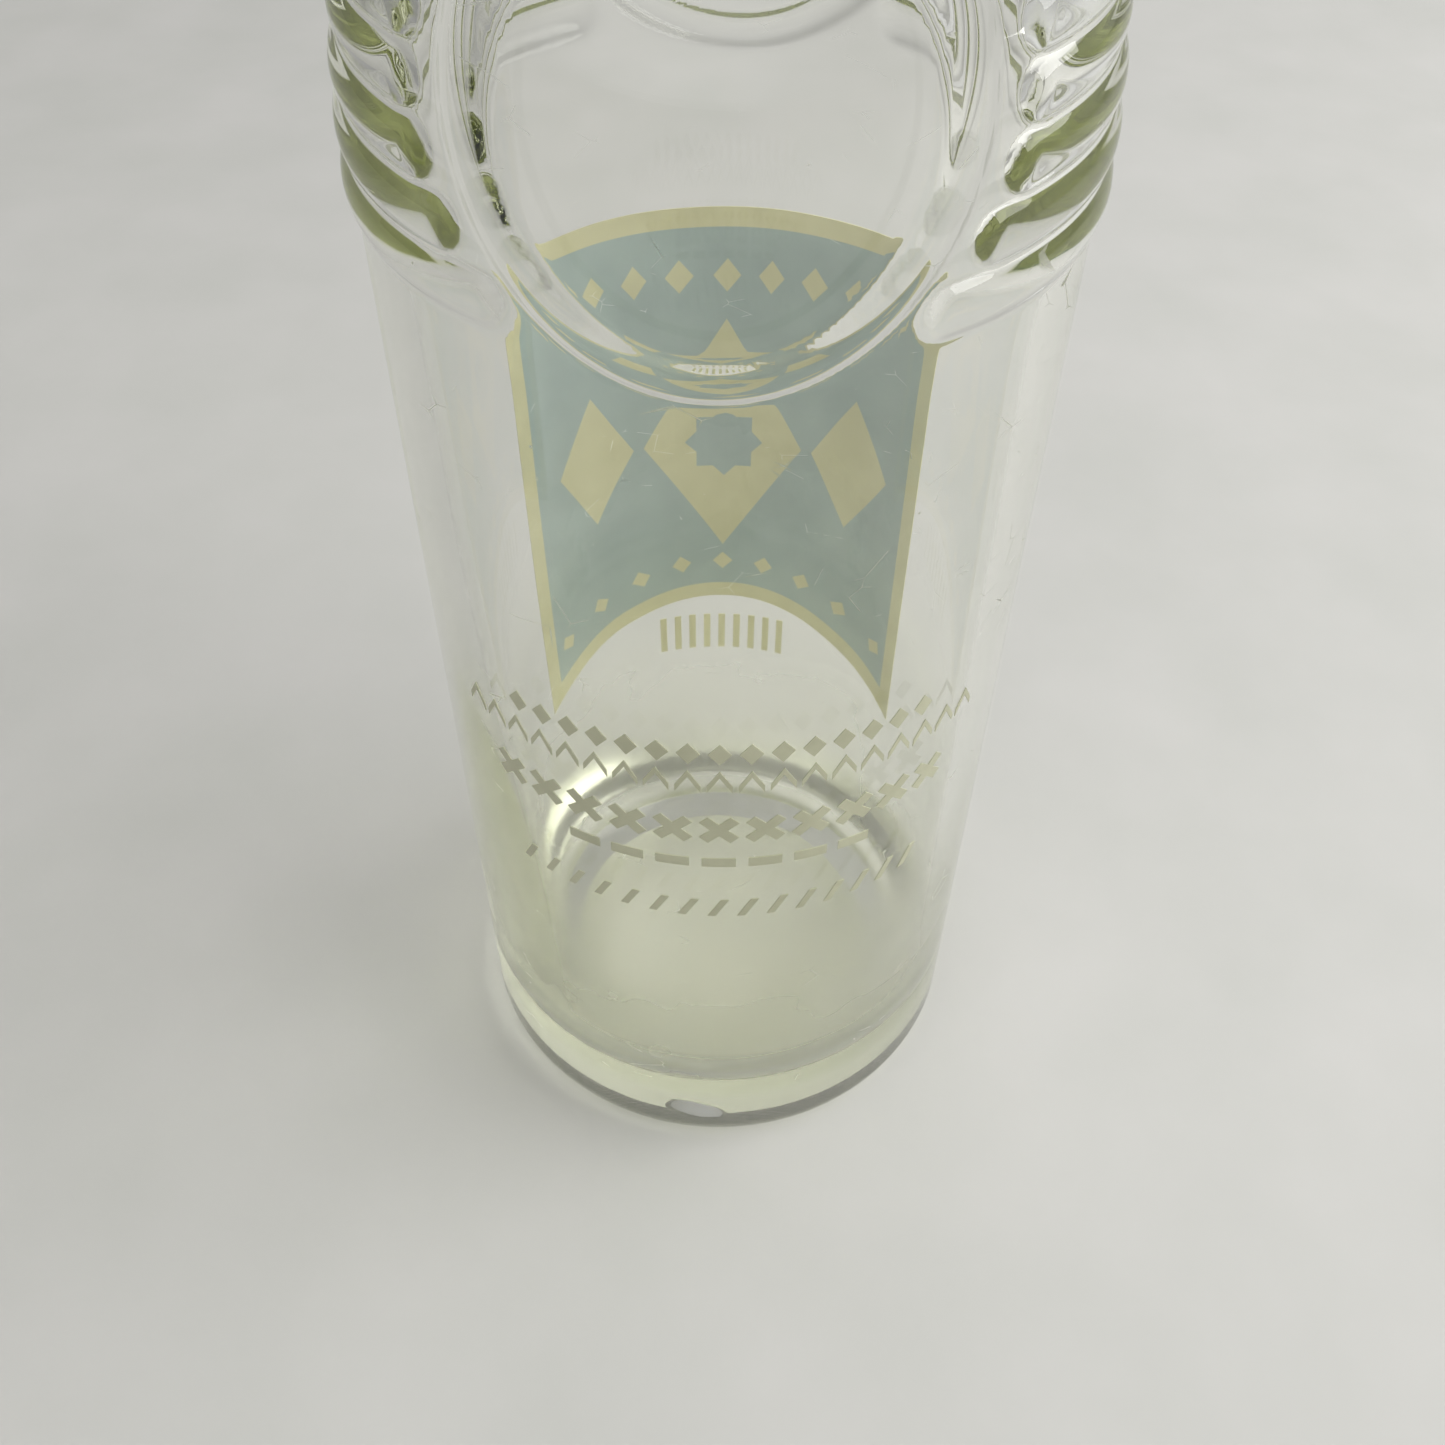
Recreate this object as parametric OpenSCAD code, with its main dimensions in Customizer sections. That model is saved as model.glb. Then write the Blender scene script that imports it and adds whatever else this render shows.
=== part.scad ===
// Returnable flint-glass drink bottle: a straight body, a hooped shoulder with a round
// medallion ring front and back, fired enamel decoration, and a fluted crown cap with its liner.
// Millimetres, +Z up, the bottle standing on Z = 0 round the Z axis, its front towards -Y.

/* [Body] */
// Outside diameter of the straight body
body_d = 80; // [70:1:90]
// Height at which the straight wall ends and the shoulder starts
body_h = 149; // [130:1:170]
// Radius of the rounded heel
heel_r = 4; // [3:0.5:10]
// Thickness of the side wall
wall_t = 4; // [3:0.25:5]
// Thickness of the base, from the foot up to the edge of the floor inside
base_t = 8; // [6:0.5:12]
// Height of the push-up under the base
punt_h = 3; // [1:0.5:5]
// Height of the low dome on the floor inside
floor_rise = 1.5; // [0.5:0.5:4]
// Inner radius of the flat ring that the bottle stands on
bearing_r = 29; // [20:1:31]
// Radius between the cavity's floor and its wall
cavity_heel_r = 16; // [8:0.5:20]

/* [Shoulder and neck] */
// Radius of the bulging part of the shoulder, seen from the side
shoulder_arc_r = 124; // [100:1:150]
// Radius of the hollow part that leads into the neck
neck_arc_r = 96; // [70:1:120]
// Outside diameter of the neck
neck_d = 28.6; // [27:0.2:30]
// Length of straight neck under the finish
neck_h = 21; // [12:1:35]

/* [Shoulder hoops] */
// Number of raised hoops round the shoulder
hoop_count = 9; // [6:1:12]
// Height of the lowest hoop above the straight wall's top
hoop_start = 2.8; // [0:0.1:6]
// Distance from one hoop to the next
hoop_pitch = 5.8; // [5:0.1:6.4]
// How far a hoop stands out of the shoulder
hoop_relief = 1; // [0.4:0.1:1.4]
// Radius of a hoop's rounded section
hoop_section_r = 5; // [4:0.1:6]

/* [Medallion ring] */
// Turn of the hoops' ends and the rings against the enamel, in degrees
mould_turn = -1.7; // [-5:0.1:5]
// Height of the ring's centre above the straight wall's top
medallion_rise = 20; // [15:1:28]
// Outer radius of the ring
medallion_r = 23.8; // [20:0.2:28]
// Width of the ring's bead
medallion_bead_w = 4.6; // [3:0.2:7]
// How far the bead stands out of the wall
medallion_relief = 1; // [0.5:0.1:1.5]
// Bare glass between the ring and the hoops' ends
medallion_gap = 1.4; // [1:0.1:4]

/* [Finish] */
// Height of the finish, from the foot of the transfer ring to the lip
finish_h = 18; // [16:0.5:22]
// Outside diameter of the locking ring, which the crown goes over
lip_d = 26.6; // [26:0.1:27]
// Bore of the mouth
mouth_d = 16; // [15.6:0.1:17]
// Length of the mouth's straight bore, with its rounded edge
mouth_l = 24; // [16:1:30]
// Outside diameter between the locking ring and the transfer ring
throat_d = 25.2; // [24.6:0.1:25.6]
// Outside diameter of the transfer ring
transfer_ring_d = 30.4; // [30:0.2:32]
// Width of the transfer ring
transfer_ring_w = 5; // [4:0.2:6]

/* [Enamel] */
// Thickness of the fired enamel
enamel_t = 0.15; // [0.1:0.05:0.3]
// Hair's breadth left between the glass and the enamel
enamel_seat = 0.01; // [0.01:0.01:0.03]
// Half of the angle that the back panel spans
panel_half_a = 55.5; // [45:0.25:60]
// Height of the back panel's top edge
panel_top_h = 123.5; // [118:0.5:135]
// Height of the back panel's two lower corners
panel_corner_h = 38; // [30:1:42]
// Rise of the arch that is cut into the panel's lower edge
panel_arch_rise = 14; // [10:1:16]
// Width of the pale border round the panel
panel_border_w = 3; // [1.5:0.1:3.6]
// Height of the middle of the row of ticks under the arch
ticks_h = 43.5; // [40:0.5:44]
// Number of ticks
ticks_count = 9; // [5:2:11]
// Width of a tick
tick_w = 1.3; // [1:0.1:2]
// Height of a tick
tick_l = 8; // [5:0.5:9]
// Bare glass between two ticks
ticks_gap = 1.6; // [1.2:0.1:2.4]

/* [Back panel motifs] */
// Number of diamonds in the frieze along the top
frieze_count = 9; // [5:2:11]
// Width of a diamond in the frieze
frieze_diamond_w = 4.4; // [3:0.1:5]
// Height of a diamond in the frieze
frieze_diamond_l = 5.4; // [4:0.1:7]
// Bare field above the frieze
frieze_gap = 4.9; // [3:0.1:7]
// Bare field beside the frieze
frieze_side_gap = 4.3; // [2:0.1:6]
// Width of the large lozenge
lozenge_w = 28; // [16:1:30]
// Bare field between the frieze and the large lozenge
lozenge_top_gap = 4.3; // [2:0.1:6]
// Bare field between the large lozenge and the pips
lozenge_foot_gap = 1.7; // [1:0.1:4]
// Side of each of the two squares that make the star in the large lozenge
star_w = 9.5; // [6:0.5:10]
// Width of each small lozenge
small_lozenge_w = 15; // [10:1:16]
// Bare field between the large lozenge and each small one
small_lozenge_gap = 1.8; // [1:0.1:3]
// Number of square pips in the arc over the arch
pip_count = 9; // [5:2:11]
// Side of a pip
pip_w = 2.6; // [2:0.1:3.2]
// Distance from the border to the pips' middles
pip_gap = 5; // [4:0.1:6]
// Distance from the border at the panel's sides to the outermost pips' middles
pip_side_gap = 3.2; // [2.5:0.1:6]

/* [Front rows] */
// Height of the topmost row, of diamonds
diamonds_h = 96.2; // [90:0.1:105]
// Number of diamonds
diamonds_count = 15; // [9:1:17]
// Height of a diamond
diamond_l = 3.6; // [3:0.1:4.2]
// Bare glass between two diamonds
diamonds_gap = 0.9; // [0.6:0.1:1.4]
// Bare glass between the diamonds and the row of chevrons
chevrons_drop = 1.2; // [0.8:0.1:3]
// Number of chevrons
chevrons_count = 19; // [9:1:21]
// Height of a chevron
chevron_l = 4; // [3.4:0.1:4.6]
// Bare glass between two chevrons
chevrons_gap = 0.7; // [0.5:0.1:1.2]
// Bare glass between the chevrons and the bold row of crosses
crosses_drop = 4.7; // [3:0.1:7]
// Number of crosses
crosses_count = 11; // [5:1:13]
// Length of a cross's arms, from tip to tip
cross_l = 5.6; // [4.6:0.1:6.4]
// Bare glass between two crosses
crosses_gap = 0.8; // [0.5:0.1:1.4]
// Bare glass between the crosses and the bold row of bars
bars_drop = 3.2; // [2:0.1:5]
// Number of bars
bars_count = 7; // [3:1:9]
// Length of a bar
bar_l = 4.4; // [3.6:0.1:5]
// Bare glass between two bars
bars_gap = 1.6; // [1:0.1:3]
// Bare glass between the bars and the row of slanting strokes
strokes_drop = 7.3; // [4:0.1:10]
// Number of strokes
strokes_count = 15; // [9:1:17]
// Height of a stroke
stroke_l = 3.6; // [3:0.1:4.2]
// Bare glass between two strokes
strokes_gap = 1.1; // [0.6:0.1:1.6]

/* [Crown cap] */
// Height of the crimped crown
crown_h = 6; // [5.5:0.1:6.5]
// Thickness of the tinplate
crown_sheet_t = 0.25; // [0.2:0.01:0.3]
// Outer radius of the corner between the crown's top and skirt
crown_corner_r = 2; // [1.6:0.1:2.4]
// Diameter over the flutes at the skirt's foot
crown_flute_d = 28.8; // [28.4:0.1:29.2]
// Number of flutes
crown_flutes = 21; // [18:1:24]
// Gap all round between the locking ring and the skirt
crown_clearance = 0.1; // [0.05:0.01:0.2]
// Thickness of the liner
liner_t = 1; // [0.6:0.1:1.4]
// Gap between the liner's edge and the shell
liner_clearance = 0.05; // [0.02:0.01:0.1]

/* [Hidden] */
$fn = 96;

flint = [0.80, 0.88, 0.80, 0.45];
cream = [0.86, 0.84, 0.66];
slate_blue = [0.44, 0.54, 0.60];
tinplate = [0.80, 0.72, 0.46];
liner_grey = [0.90, 0.90, 0.86];

// Body, shoulder and neck
body_r = body_d / 2;
neck_r = neck_d / 2;
shoulder_a = acos(1 - (body_r - neck_r) / (shoulder_arc_r + neck_arc_r));
shoulder_l = (shoulder_arc_r + neck_arc_r) * sin(shoulder_a);
neck_foot_h = body_h + shoulder_l;
finish_foot_h = neck_foot_h + neck_h;
height = finish_foot_h + finish_h;
cavity_r = body_r - wall_t;
cavity_floor_h = base_t + floor_rise;
cavity_edge_h = base_t;
round_steps = 6;
long_arc_steps = 12;

// Finish
lip_r = lip_d / 2;
throat_r = throat_d / 2;
transfer_ring_r = transfer_ring_d / 2;
mouth_r = mouth_d / 2;
mouth_foot_h = height - mouth_l;
lip_round_r = 2.1;
lip_inner_r = 1;
locking_ring_h = 4.2;
locking_ring_chamfer = 1;
transfer_ring_round_r = 1.6;
transfer_ring_foot = 1.5;
transfer_ring_turn_a = 80;

// Hoops and medallion
hoop_first_h = body_h + hoop_start;
medallion_h = body_h + medallion_rise;
medallion_inner_r = medallion_r - medallion_bead_w;
medallion_clear_r = medallion_r + medallion_gap;

// Enamel
enamel_r = body_r + enamel_seat;
panel_half_w = body_r * sin(panel_half_a);
panel_arch_r = (pow(panel_half_w, 2) + pow(panel_arch_rise, 2)) / (2 * panel_arch_rise);
panel_arch_h = panel_corner_h + panel_arch_rise - panel_arch_r;
field_half_a = panel_half_a - wall_angle(panel_border_w);
field_arch_r = panel_arch_r + panel_border_w;
field_top_h = panel_top_h - panel_border_w;
frieze_h = field_top_h - frieze_gap - frieze_diamond_l / 2;
frieze_half_a = field_half_a - wall_angle(frieze_side_gap + frieze_diamond_w / 2);
pip_arc_r = field_arch_r + pip_gap;
pip_half_a = field_half_a - wall_angle(pip_side_gap);
pip_half_turn = asin(body_r * sin(pip_half_a) / pip_arc_r);
pip_reach = pip_w * sqrt(0.5);
lozenge_foot_h = panel_arch_h + pip_arc_r + pip_reach + lozenge_foot_gap;
lozenge_l = frieze_h - frieze_diamond_l / 2 - lozenge_top_gap - lozenge_foot_h;
lozenge_h = lozenge_foot_h + lozenge_l / 2;
small_lozenge_l = lozenge_l * 4 / 7;
small_lozenge_a = wall_angle((lozenge_w + small_lozenge_w) / 2 + small_lozenge_gap);
diamond_w = diamond_l * 0.8;
chevron_w = chevron_l * 0.8;
chevron_line = chevron_l * 0.3;
cross_line = cross_l * 0.28;
cross_w = (cross_l + cross_line) * sqrt(0.5);
bar_line = bar_l * 0.4;
stroke_w = stroke_l * 0.8;
stroke_line = stroke_l * 0.3;
chevrons_h = diamonds_h - diamond_l / 2 - chevrons_drop - chevron_l / 2;
crosses_h = chevrons_h - chevron_l / 2 - crosses_drop - cross_w / 2;
bars_h = crosses_h - cross_w / 2 - bars_drop - bar_line / 2;
strokes_h = bars_h - bar_line / 2 - strokes_drop - stroke_l / 2;
cross_bar_l = 2 * body_d;
cut_margin = 1;

// Crown
skirt_in_r = lip_r + crown_clearance;
skirt_r = skirt_in_r + crown_sheet_t;
crown_seat_h = height + liner_t;
crown_top_h = crown_seat_h + crown_sheet_t;
crown_foot_h = crown_top_h - crown_h;
corner_in_r = crown_corner_r - crown_sheet_t;
crown_face_r = skirt_in_r - corner_in_r;
flute_foot_r = 1.35;
flute_top_r = 0.45;
flute_h = crown_h * 0.7;
flute_taper = (flute_foot_r - flute_top_r) / flute_h;
flute_centre_r = crown_flute_d / 2 - flute_foot_r;
liner_edge_t = liner_t * 0.35;
liner_edge_in = corner_in_r - liner_t + liner_edge_t;
liner_r = crown_face_r + sqrt(pow(corner_in_r, 2) - pow(liner_edge_in, 2)) - liner_clearance;

// Angle that a length takes up round the body's wall.
function wall_angle(l) = l / body_r * 180 / PI;

// Place of item i of count, from -1 for the first to 1 for the last.
function spread(i, count) = 2 * i / (count - 1) - 1;

// Points on an arc of radius r about [cx, cz], from angle a0 to a1.
function arc(cx, cz, r, a0, a1, steps) =
    [for (i = [0:steps]) let (a = a0 + (a1 - a0) * i / steps) [cx + r * cos(a), cz + r * sin(a)]];

// Points on a shallow dome h high on the axis, from its crown at z_top out to half_w.
function dome(half_w, h, z_top) =
    let (r = (pow(half_w, 2) + pow(h, 2)) / (2 * h), a = asin(half_w / r))
    arc(0, z_top - r, r, 90, 90 - a, round_steps);

// Radius of the smooth shoulder at height z.
function shoulder_r(z) =
    let (up = max(0, z - body_h), bulge_l = shoulder_arc_r * sin(shoulder_a))
    up <= bulge_l
        ? body_r - shoulder_arc_r + sqrt(pow(shoulder_arc_r, 2) - pow(up, 2))
        : neck_r + neck_arc_r - sqrt(pow(neck_arc_r, 2) - pow(max(0, shoulder_l - up), 2));

// Shoulder line, moved outwards by d, from the straight wall up to the straight neck.
function shoulder_line(d) = concat(
    arc(body_r - shoulder_arc_r, body_h, shoulder_arc_r + d, 0, shoulder_a, long_arc_steps),
    arc(neck_r + neck_arc_r, neck_foot_h, neck_arc_r - d, 180 + shoulder_a, 180, long_arc_steps)
);

// Outline of the transfer ring, from its foot up.
function transfer_ring_line() =
    let (
        cx = transfer_ring_r - transfer_ring_round_r,
        low_h = finish_foot_h + transfer_ring_foot + transfer_ring_round_r,
        high_h = finish_foot_h + transfer_ring_foot + transfer_ring_w - transfer_ring_round_r
    )
    concat(
        arc(cx, low_h, transfer_ring_round_r, -transfer_ring_turn_a, 0, 4),
        arc(cx, high_h, transfer_ring_round_r, 0, transfer_ring_turn_a, 4)
    );

// Outline of the finish, from its foot up and over the lip to the axis.
function finish_line() = concat(
    [[neck_r, finish_foot_h]],
    transfer_ring_line(),
    [
        [throat_r, finish_foot_h + transfer_ring_foot + transfer_ring_w],
        [throat_r, height - locking_ring_h - locking_ring_chamfer],
        [lip_r, height - locking_ring_h]
    ],
    arc(lip_r - lip_round_r, height - lip_round_r, lip_round_r, 0, 90, round_steps),
    [[0, height]]
);

// Half section of the whole outside, filled to the axis.
module outer_outline() {
    polygon(concat(
        dome(bearing_r, punt_h, punt_h),
        arc(body_r - heel_r, heel_r, heel_r, -90, 0, round_steps),
        shoulder_line(0),
        finish_line()
    ));
}

// Half section of the hollow, from its floor up and out of the mouth.
module cavity_outline() {
    polygon(concat(
        dome(cavity_r - cavity_heel_r, floor_rise, cavity_floor_h),
        arc(cavity_r - cavity_heel_r, cavity_edge_h + cavity_heel_r, cavity_heel_r, -90, 0, round_steps),
        shoulder_line(-wall_t),
        [[mouth_r, mouth_foot_h]],
        arc(mouth_r + lip_inner_r, height - lip_inner_r, lip_inner_r, 180, 90, round_steps),
        [[0, height]]
    ));
}

// Round bar through the bottle from front to back at height z.
module cross_bar(r, z) {
    translate([0, 0, z])
        rotate([90, 0, 0])
        cylinder(r = r, h = cross_bar_l, center = true);
}

// One hoop round the shoulder, which stops short of the medallion front and back.
module shoulder_hoop(z) {
    crest_r = shoulder_r(z) + hoop_relief;
    reach = pow(medallion_clear_r, 2) - pow(z - medallion_h, 2);
    gap_a = reach > 0 ? asin(sqrt(reach) / crest_r) : 0;
    for (side = [0, 180])
        rotate([0, 0, side + gap_a - 90])
        rotate_extrude(angle = 180 - 2 * gap_a)
        translate([crest_r - hoop_section_r, z])
        circle(r = hoop_section_r);
}

// The medallion's bead, front and back. What lies inside the bottle's wall is lost in it.
module medallion_bead() {
    intersection() {
        rotate_extrude()
            polygon(concat(
                [
                    [0, medallion_h - medallion_clear_r],
                    [body_r + medallion_relief, medallion_h - medallion_clear_r]
                ],
                shoulder_line(medallion_relief),
                [[0, neck_foot_h]]
            ));
        difference() {
            cross_bar(medallion_r, medallion_h);
            cross_bar(medallion_inner_r, medallion_h);
        }
    }
}

module glass_bottle() {
    color(flint)
    difference() {
        union() {
            rotate_extrude() outer_outline();
            rotate([0, 0, mould_turn]) {
                for (i = [0:hoop_count - 1])
                    shoulder_hoop(hoop_first_h + i * hoop_pitch);
                medallion_bead();
            }
        }
        rotate_extrude() cavity_outline();
    }
}

// Enamel on the back wall between two heights, out to half_a each side.
// A margin makes it stand proud of the enamel's own faces, for cutting.
module back_band(half_a, low_h, high_h, margin = 0) {
    rotate([0, 0, 90 - half_a])
        rotate_extrude(angle = 2 * half_a)
        translate([enamel_r - margin, low_h])
        square([enamel_t + 2 * margin, high_h - low_h]);
}

// Ring of enamel round the whole body between two heights.
module wall_ring(low_h, high_h) {
    rotate_extrude()
        translate([enamel_r, low_h])
        square([enamel_t, high_h - low_h]);
}

// Sets a flat outline square to the wall, a degrees round from the front, and pushes it through.
module on_front(a, z) {
    rotate([0, 0, a])
        translate([0, -cavity_r, z])
        rotate([90, 0, 0])
        linear_extrude(height = 2 * wall_t)
        children();
}

// The same on the back, where a counts to the right as seen through the bottle from the front.
module on_back(a, z) {
    on_front(180 - a, z) mirror([1, 0, 0]) children();
}

module diamond(w, l) {
    polygon([[w / 2, 0], [0, l / 2], [-w / 2, 0], [0, -l / 2]]);
}

module chevron(w, l, line) {
    polygon([
        [-w / 2, -l / 2], [0, l / 2 - line], [w / 2, -l / 2],
        [w / 2, line - l / 2], [0, l / 2], [-w / 2, line - l / 2]
    ]);
}

module saltire(w, line) {
    for (a = [45, 135])
        rotate(a) square([w, line], center = true);
}

module slant(w, l, line) {
    polygon([[-w / 2, -l / 2], [line - w / 2, -l / 2], [w / 2, l / 2], [w / 2 - line, l / 2]]);
}

// Large lozenge with an eight-pointed star left out of it, and a small lozenge each side.
module lozenge_bars() {
    on_back(0, lozenge_h)
        difference() {
            diamond(lozenge_w, lozenge_l);
            for (a = [0, 45])
                rotate(a) square(star_w, center = true);
        }
    for (side = [-1, 1])
        on_back(side * small_lozenge_a, lozenge_h)
        diamond(small_lozenge_w, small_lozenge_l);
}

// Diamonds in a row under the panel's top edge.
module frieze_bars() {
    for (i = [0:frieze_count - 1])
        on_back(frieze_half_a * spread(i, frieze_count), frieze_h)
        diamond(frieze_diamond_w, frieze_diamond_l);
}

// Square pips in an arc over the arch.
module pip_bars() {
    for (i = [0:pip_count - 1]) {
        turn = pip_half_turn * spread(i, pip_count);
        on_back(asin(pip_arc_r * sin(turn) / body_r), panel_arch_h + pip_arc_r * cos(turn))
            rotate(45 - turn)
            square(pip_w, center = true);
    }
}

// Enamel in the shape of the bars, where they go through the back wall.
module back_inlay(low_h, high_h) {
    color(cream)
    intersection() {
        wall_ring(low_h, high_h);
        children();
    }
}

module back_panel_border() {
    color(cream)
    difference() {
        back_band(panel_half_a, panel_corner_h, panel_top_h);
        cross_bar(panel_arch_r, panel_arch_h);
        difference() {
            back_band(field_half_a, panel_corner_h - cut_margin, field_top_h, cut_margin);
            cross_bar(field_arch_r, panel_arch_h);
        }
    }
}

module back_panel_field() {
    color(slate_blue)
    difference() {
        back_band(field_half_a, panel_corner_h, field_top_h);
        cross_bar(field_arch_r, panel_arch_h);
        lozenge_bars();
        frieze_bars();
        pip_bars();
    }
}

module back_panel_lozenges() {
    back_inlay(lozenge_h - lozenge_l, lozenge_h + lozenge_l) lozenge_bars();
}

module back_panel_frieze() {
    back_inlay(frieze_h - frieze_diamond_l, frieze_h + frieze_diamond_l) frieze_bars();
}

module back_panel_pips() {
    back_inlay(panel_corner_h, lozenge_h) pip_bars();
}

// Short row of upright ticks under the arch.
module back_strip() {
    half_a = wall_angle((tick_w + ticks_gap) * (ticks_count - 1) / 2);
    back_inlay(ticks_h - tick_l, ticks_h + tick_l)
        for (i = [0:ticks_count - 1])
            on_back(half_a * spread(i, ticks_count), ticks_h)
            square([tick_w, tick_l], center = true);
}

// Enamel marks in a row round the front at height z, each mark_w wide, with gap between them.
module front_row(z, count, mark_w, mark_l, gap) {
    half_a = wall_angle((mark_w + gap) * (count - 1) / 2);
    color(cream)
    intersection() {
        wall_ring(z - mark_l, z + mark_l);
        for (i = [0:count - 1])
            on_front(half_a * spread(i, count), z)
            children();
    }
}

module front_row_diamonds() {
    front_row(diamonds_h, diamonds_count, diamond_w, diamond_l, diamonds_gap)
        diamond(diamond_w, diamond_l);
}

module front_row_chevrons() {
    front_row(chevrons_h, chevrons_count, chevron_w, chevron_l, chevrons_gap)
        chevron(chevron_w, chevron_l, chevron_line);
}

module front_row_crosses() {
    front_row(crosses_h, crosses_count, cross_w, cross_w, crosses_gap)
        saltire(cross_l, cross_line);
}

module front_row_bars() {
    front_row(bars_h, bars_count, bar_l, bar_line, bars_gap)
        square([bar_l, bar_line], center = true);
}

module front_row_strokes() {
    front_row(strokes_h, strokes_count, stroke_w, stroke_l, strokes_gap)
        slant(stroke_w, stroke_l, stroke_line);
}

// The cones that make the crown's flutes, spread round the skirt. The inset makes them smaller,
// and the drop makes them go on below the skirt's foot, for cutting.
module flute_cones(inset = 0, drop = 0) {
    for (i = [0:crown_flutes - 1])
        rotate([0, 0, i * 360 / crown_flutes])
        translate([flute_centre_r, 0, crown_foot_h - drop])
        cylinder(
            r1 = flute_foot_r - inset + flute_taper * drop,
            r2 = flute_top_r - inset,
            h = flute_h + drop
        );
}

module crown_shell() {
    color(tinplate)
    difference() {
        union() {
            rotate_extrude()
                polygon(concat(
                    [[0, crown_foot_h], [skirt_r, crown_foot_h]],
                    arc(crown_face_r, crown_top_h - crown_corner_r, crown_corner_r, 0, 90, round_steps),
                    [[0, crown_top_h]]
                ));
            flute_cones();
        }
        union() {
            rotate_extrude()
                polygon(concat(
                    [[0, crown_foot_h - cut_margin], [skirt_in_r, crown_foot_h - cut_margin]],
                    arc(crown_face_r, crown_seat_h - corner_in_r, corner_in_r, 0, 90, round_steps),
                    [[0, crown_seat_h]]
                ));
            flute_cones(crown_sheet_t, cut_margin / 2);
        }
    }
}

// Disc that seals on the lip, its edge cut back to clear the shell's corner.
module crown_liner() {
    color(liner_grey)
    rotate_extrude()
        polygon([
            [0, height],
            [liner_r, height],
            [liner_r, height + liner_edge_t],
            [crown_face_r - liner_clearance, crown_seat_h],
            [0, crown_seat_h]
        ]);
}

glass_bottle();
back_panel_field();
back_panel_border();
back_panel_lozenges();
back_panel_frieze();
back_panel_pips();
back_strip();
front_row_diamonds();
front_row_chevrons();
front_row_crosses();
front_row_bars();
front_row_strokes();
crown_shell();
crown_liner();
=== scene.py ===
"""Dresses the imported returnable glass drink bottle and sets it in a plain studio.

The frame gives the bottle, its fired enamel and its crown cap at their real places. This script
replaces each of them with a finer piece on the same body: the glass is spun from its section and
its hoops and medallion ring are raised on it, the enamel is laid out flat and bent round the wall,
and the crown is drawn and fluted. Sizes in the classes are millimetres, and MM turns them into
Blender's metres. The bottle stands on Z = 0 round the Z axis, its front towards -Y.
"""

import logging
import math
from dataclasses import dataclass
from enum import Enum
from typing import Callable, Iterable, Optional, Sequence

import bpy
from mathutils import Matrix, Vector, noise

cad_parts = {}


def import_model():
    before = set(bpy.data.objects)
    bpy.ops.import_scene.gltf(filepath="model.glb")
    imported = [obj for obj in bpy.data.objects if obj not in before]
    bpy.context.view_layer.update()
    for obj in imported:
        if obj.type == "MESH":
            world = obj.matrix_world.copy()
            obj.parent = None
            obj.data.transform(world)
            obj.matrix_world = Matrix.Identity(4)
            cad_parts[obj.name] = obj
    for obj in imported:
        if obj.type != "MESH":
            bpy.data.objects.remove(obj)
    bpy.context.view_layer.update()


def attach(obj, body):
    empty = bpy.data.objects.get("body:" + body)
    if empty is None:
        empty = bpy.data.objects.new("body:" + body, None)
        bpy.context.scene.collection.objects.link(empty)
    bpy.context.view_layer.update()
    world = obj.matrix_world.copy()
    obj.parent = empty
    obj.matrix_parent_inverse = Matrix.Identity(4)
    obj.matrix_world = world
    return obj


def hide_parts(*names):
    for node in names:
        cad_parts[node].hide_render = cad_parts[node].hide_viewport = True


MM = 0.001
# Vertices closer than this, in millimetres, meet at a seam or at the pole of a spun skin.
SEAM = 0.002
LOG = logging.getLogger("bottle")

Point = tuple[float, float]


class Body(Enum):
    """The bodies that pieces ride on."""

    BOTTLE = "bottle"
    CROWN = "crown_cap"


class Slot(Enum):
    """Names of the material slots. Nothing in the script uses them."""

    GLASS = "flint_glass"
    CREAM = "cream_enamel"
    BLUE = "blue_enamel"
    TINPLATE = "lacquered_tinplate"
    LINER = "liner_compound"


# ---------------------------------------------------------------------------------------------
# Outlines
# ---------------------------------------------------------------------------------------------


def arc(cx: float, cz: float, r: float, start: float, end: float, steps: int) -> list[Point]:
    """Points along an arc of an outline.

    Args:
        cx: Centre, across.
        cz: Centre, up.
        r: Radius.
        start: First angle in degrees, 0 across and 90 up.
        end: Last angle in degrees.
        steps: Number of equal steps between the two.

    Returns:
        The points, from the first angle to the last.
    """
    turns = [math.radians(start + (end - start) * i / steps) for i in range(steps + 1)]
    return [(cx + r * math.cos(a), cz + r * math.sin(a)) for a in turns]


def line(start: Point, end: Point, steps: int) -> list[Point]:
    """Points along a straight stretch of an outline, both ends among them.

    Args:
        start: First point.
        end: Last point.
        steps: Number of equal steps between the two.

    Returns:
        The points in order.
    """
    return [
        (start[0] + (end[0] - start[0]) * i / steps, start[1] + (end[1] - start[1]) * i / steps)
        for i in range(steps + 1)
    ]


def dome(half_w: float, h: float, top: float, steps: int) -> list[Point]:
    """Points on a shallow dome, from its crown on the axis out to its edge.

    Args:
        half_w: Radius of the dome's edge.
        h: Height of the dome.
        top: Height of its crown.
        steps: Number of steps from crown to edge.

    Returns:
        The points in order.
    """
    r = (half_w**2 + h**2) / (2 * h)
    edge = math.degrees(math.asin(half_w / r))
    return arc(0, top - r, r, 90, 90 - edge, steps)


def soft_crest(height: float, softness: float) -> float:
    """Joins a raised form to the wall round it with a fillet.

    Args:
        height: Height of the bare form over the wall, below 0 outside it.
        softness: How far the fillet reaches, in the height's own units.

    Returns:
        The height with its foot smoothed into 0.
    """
    return (height + math.hypot(height, 2 * softness)) / 2


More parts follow.
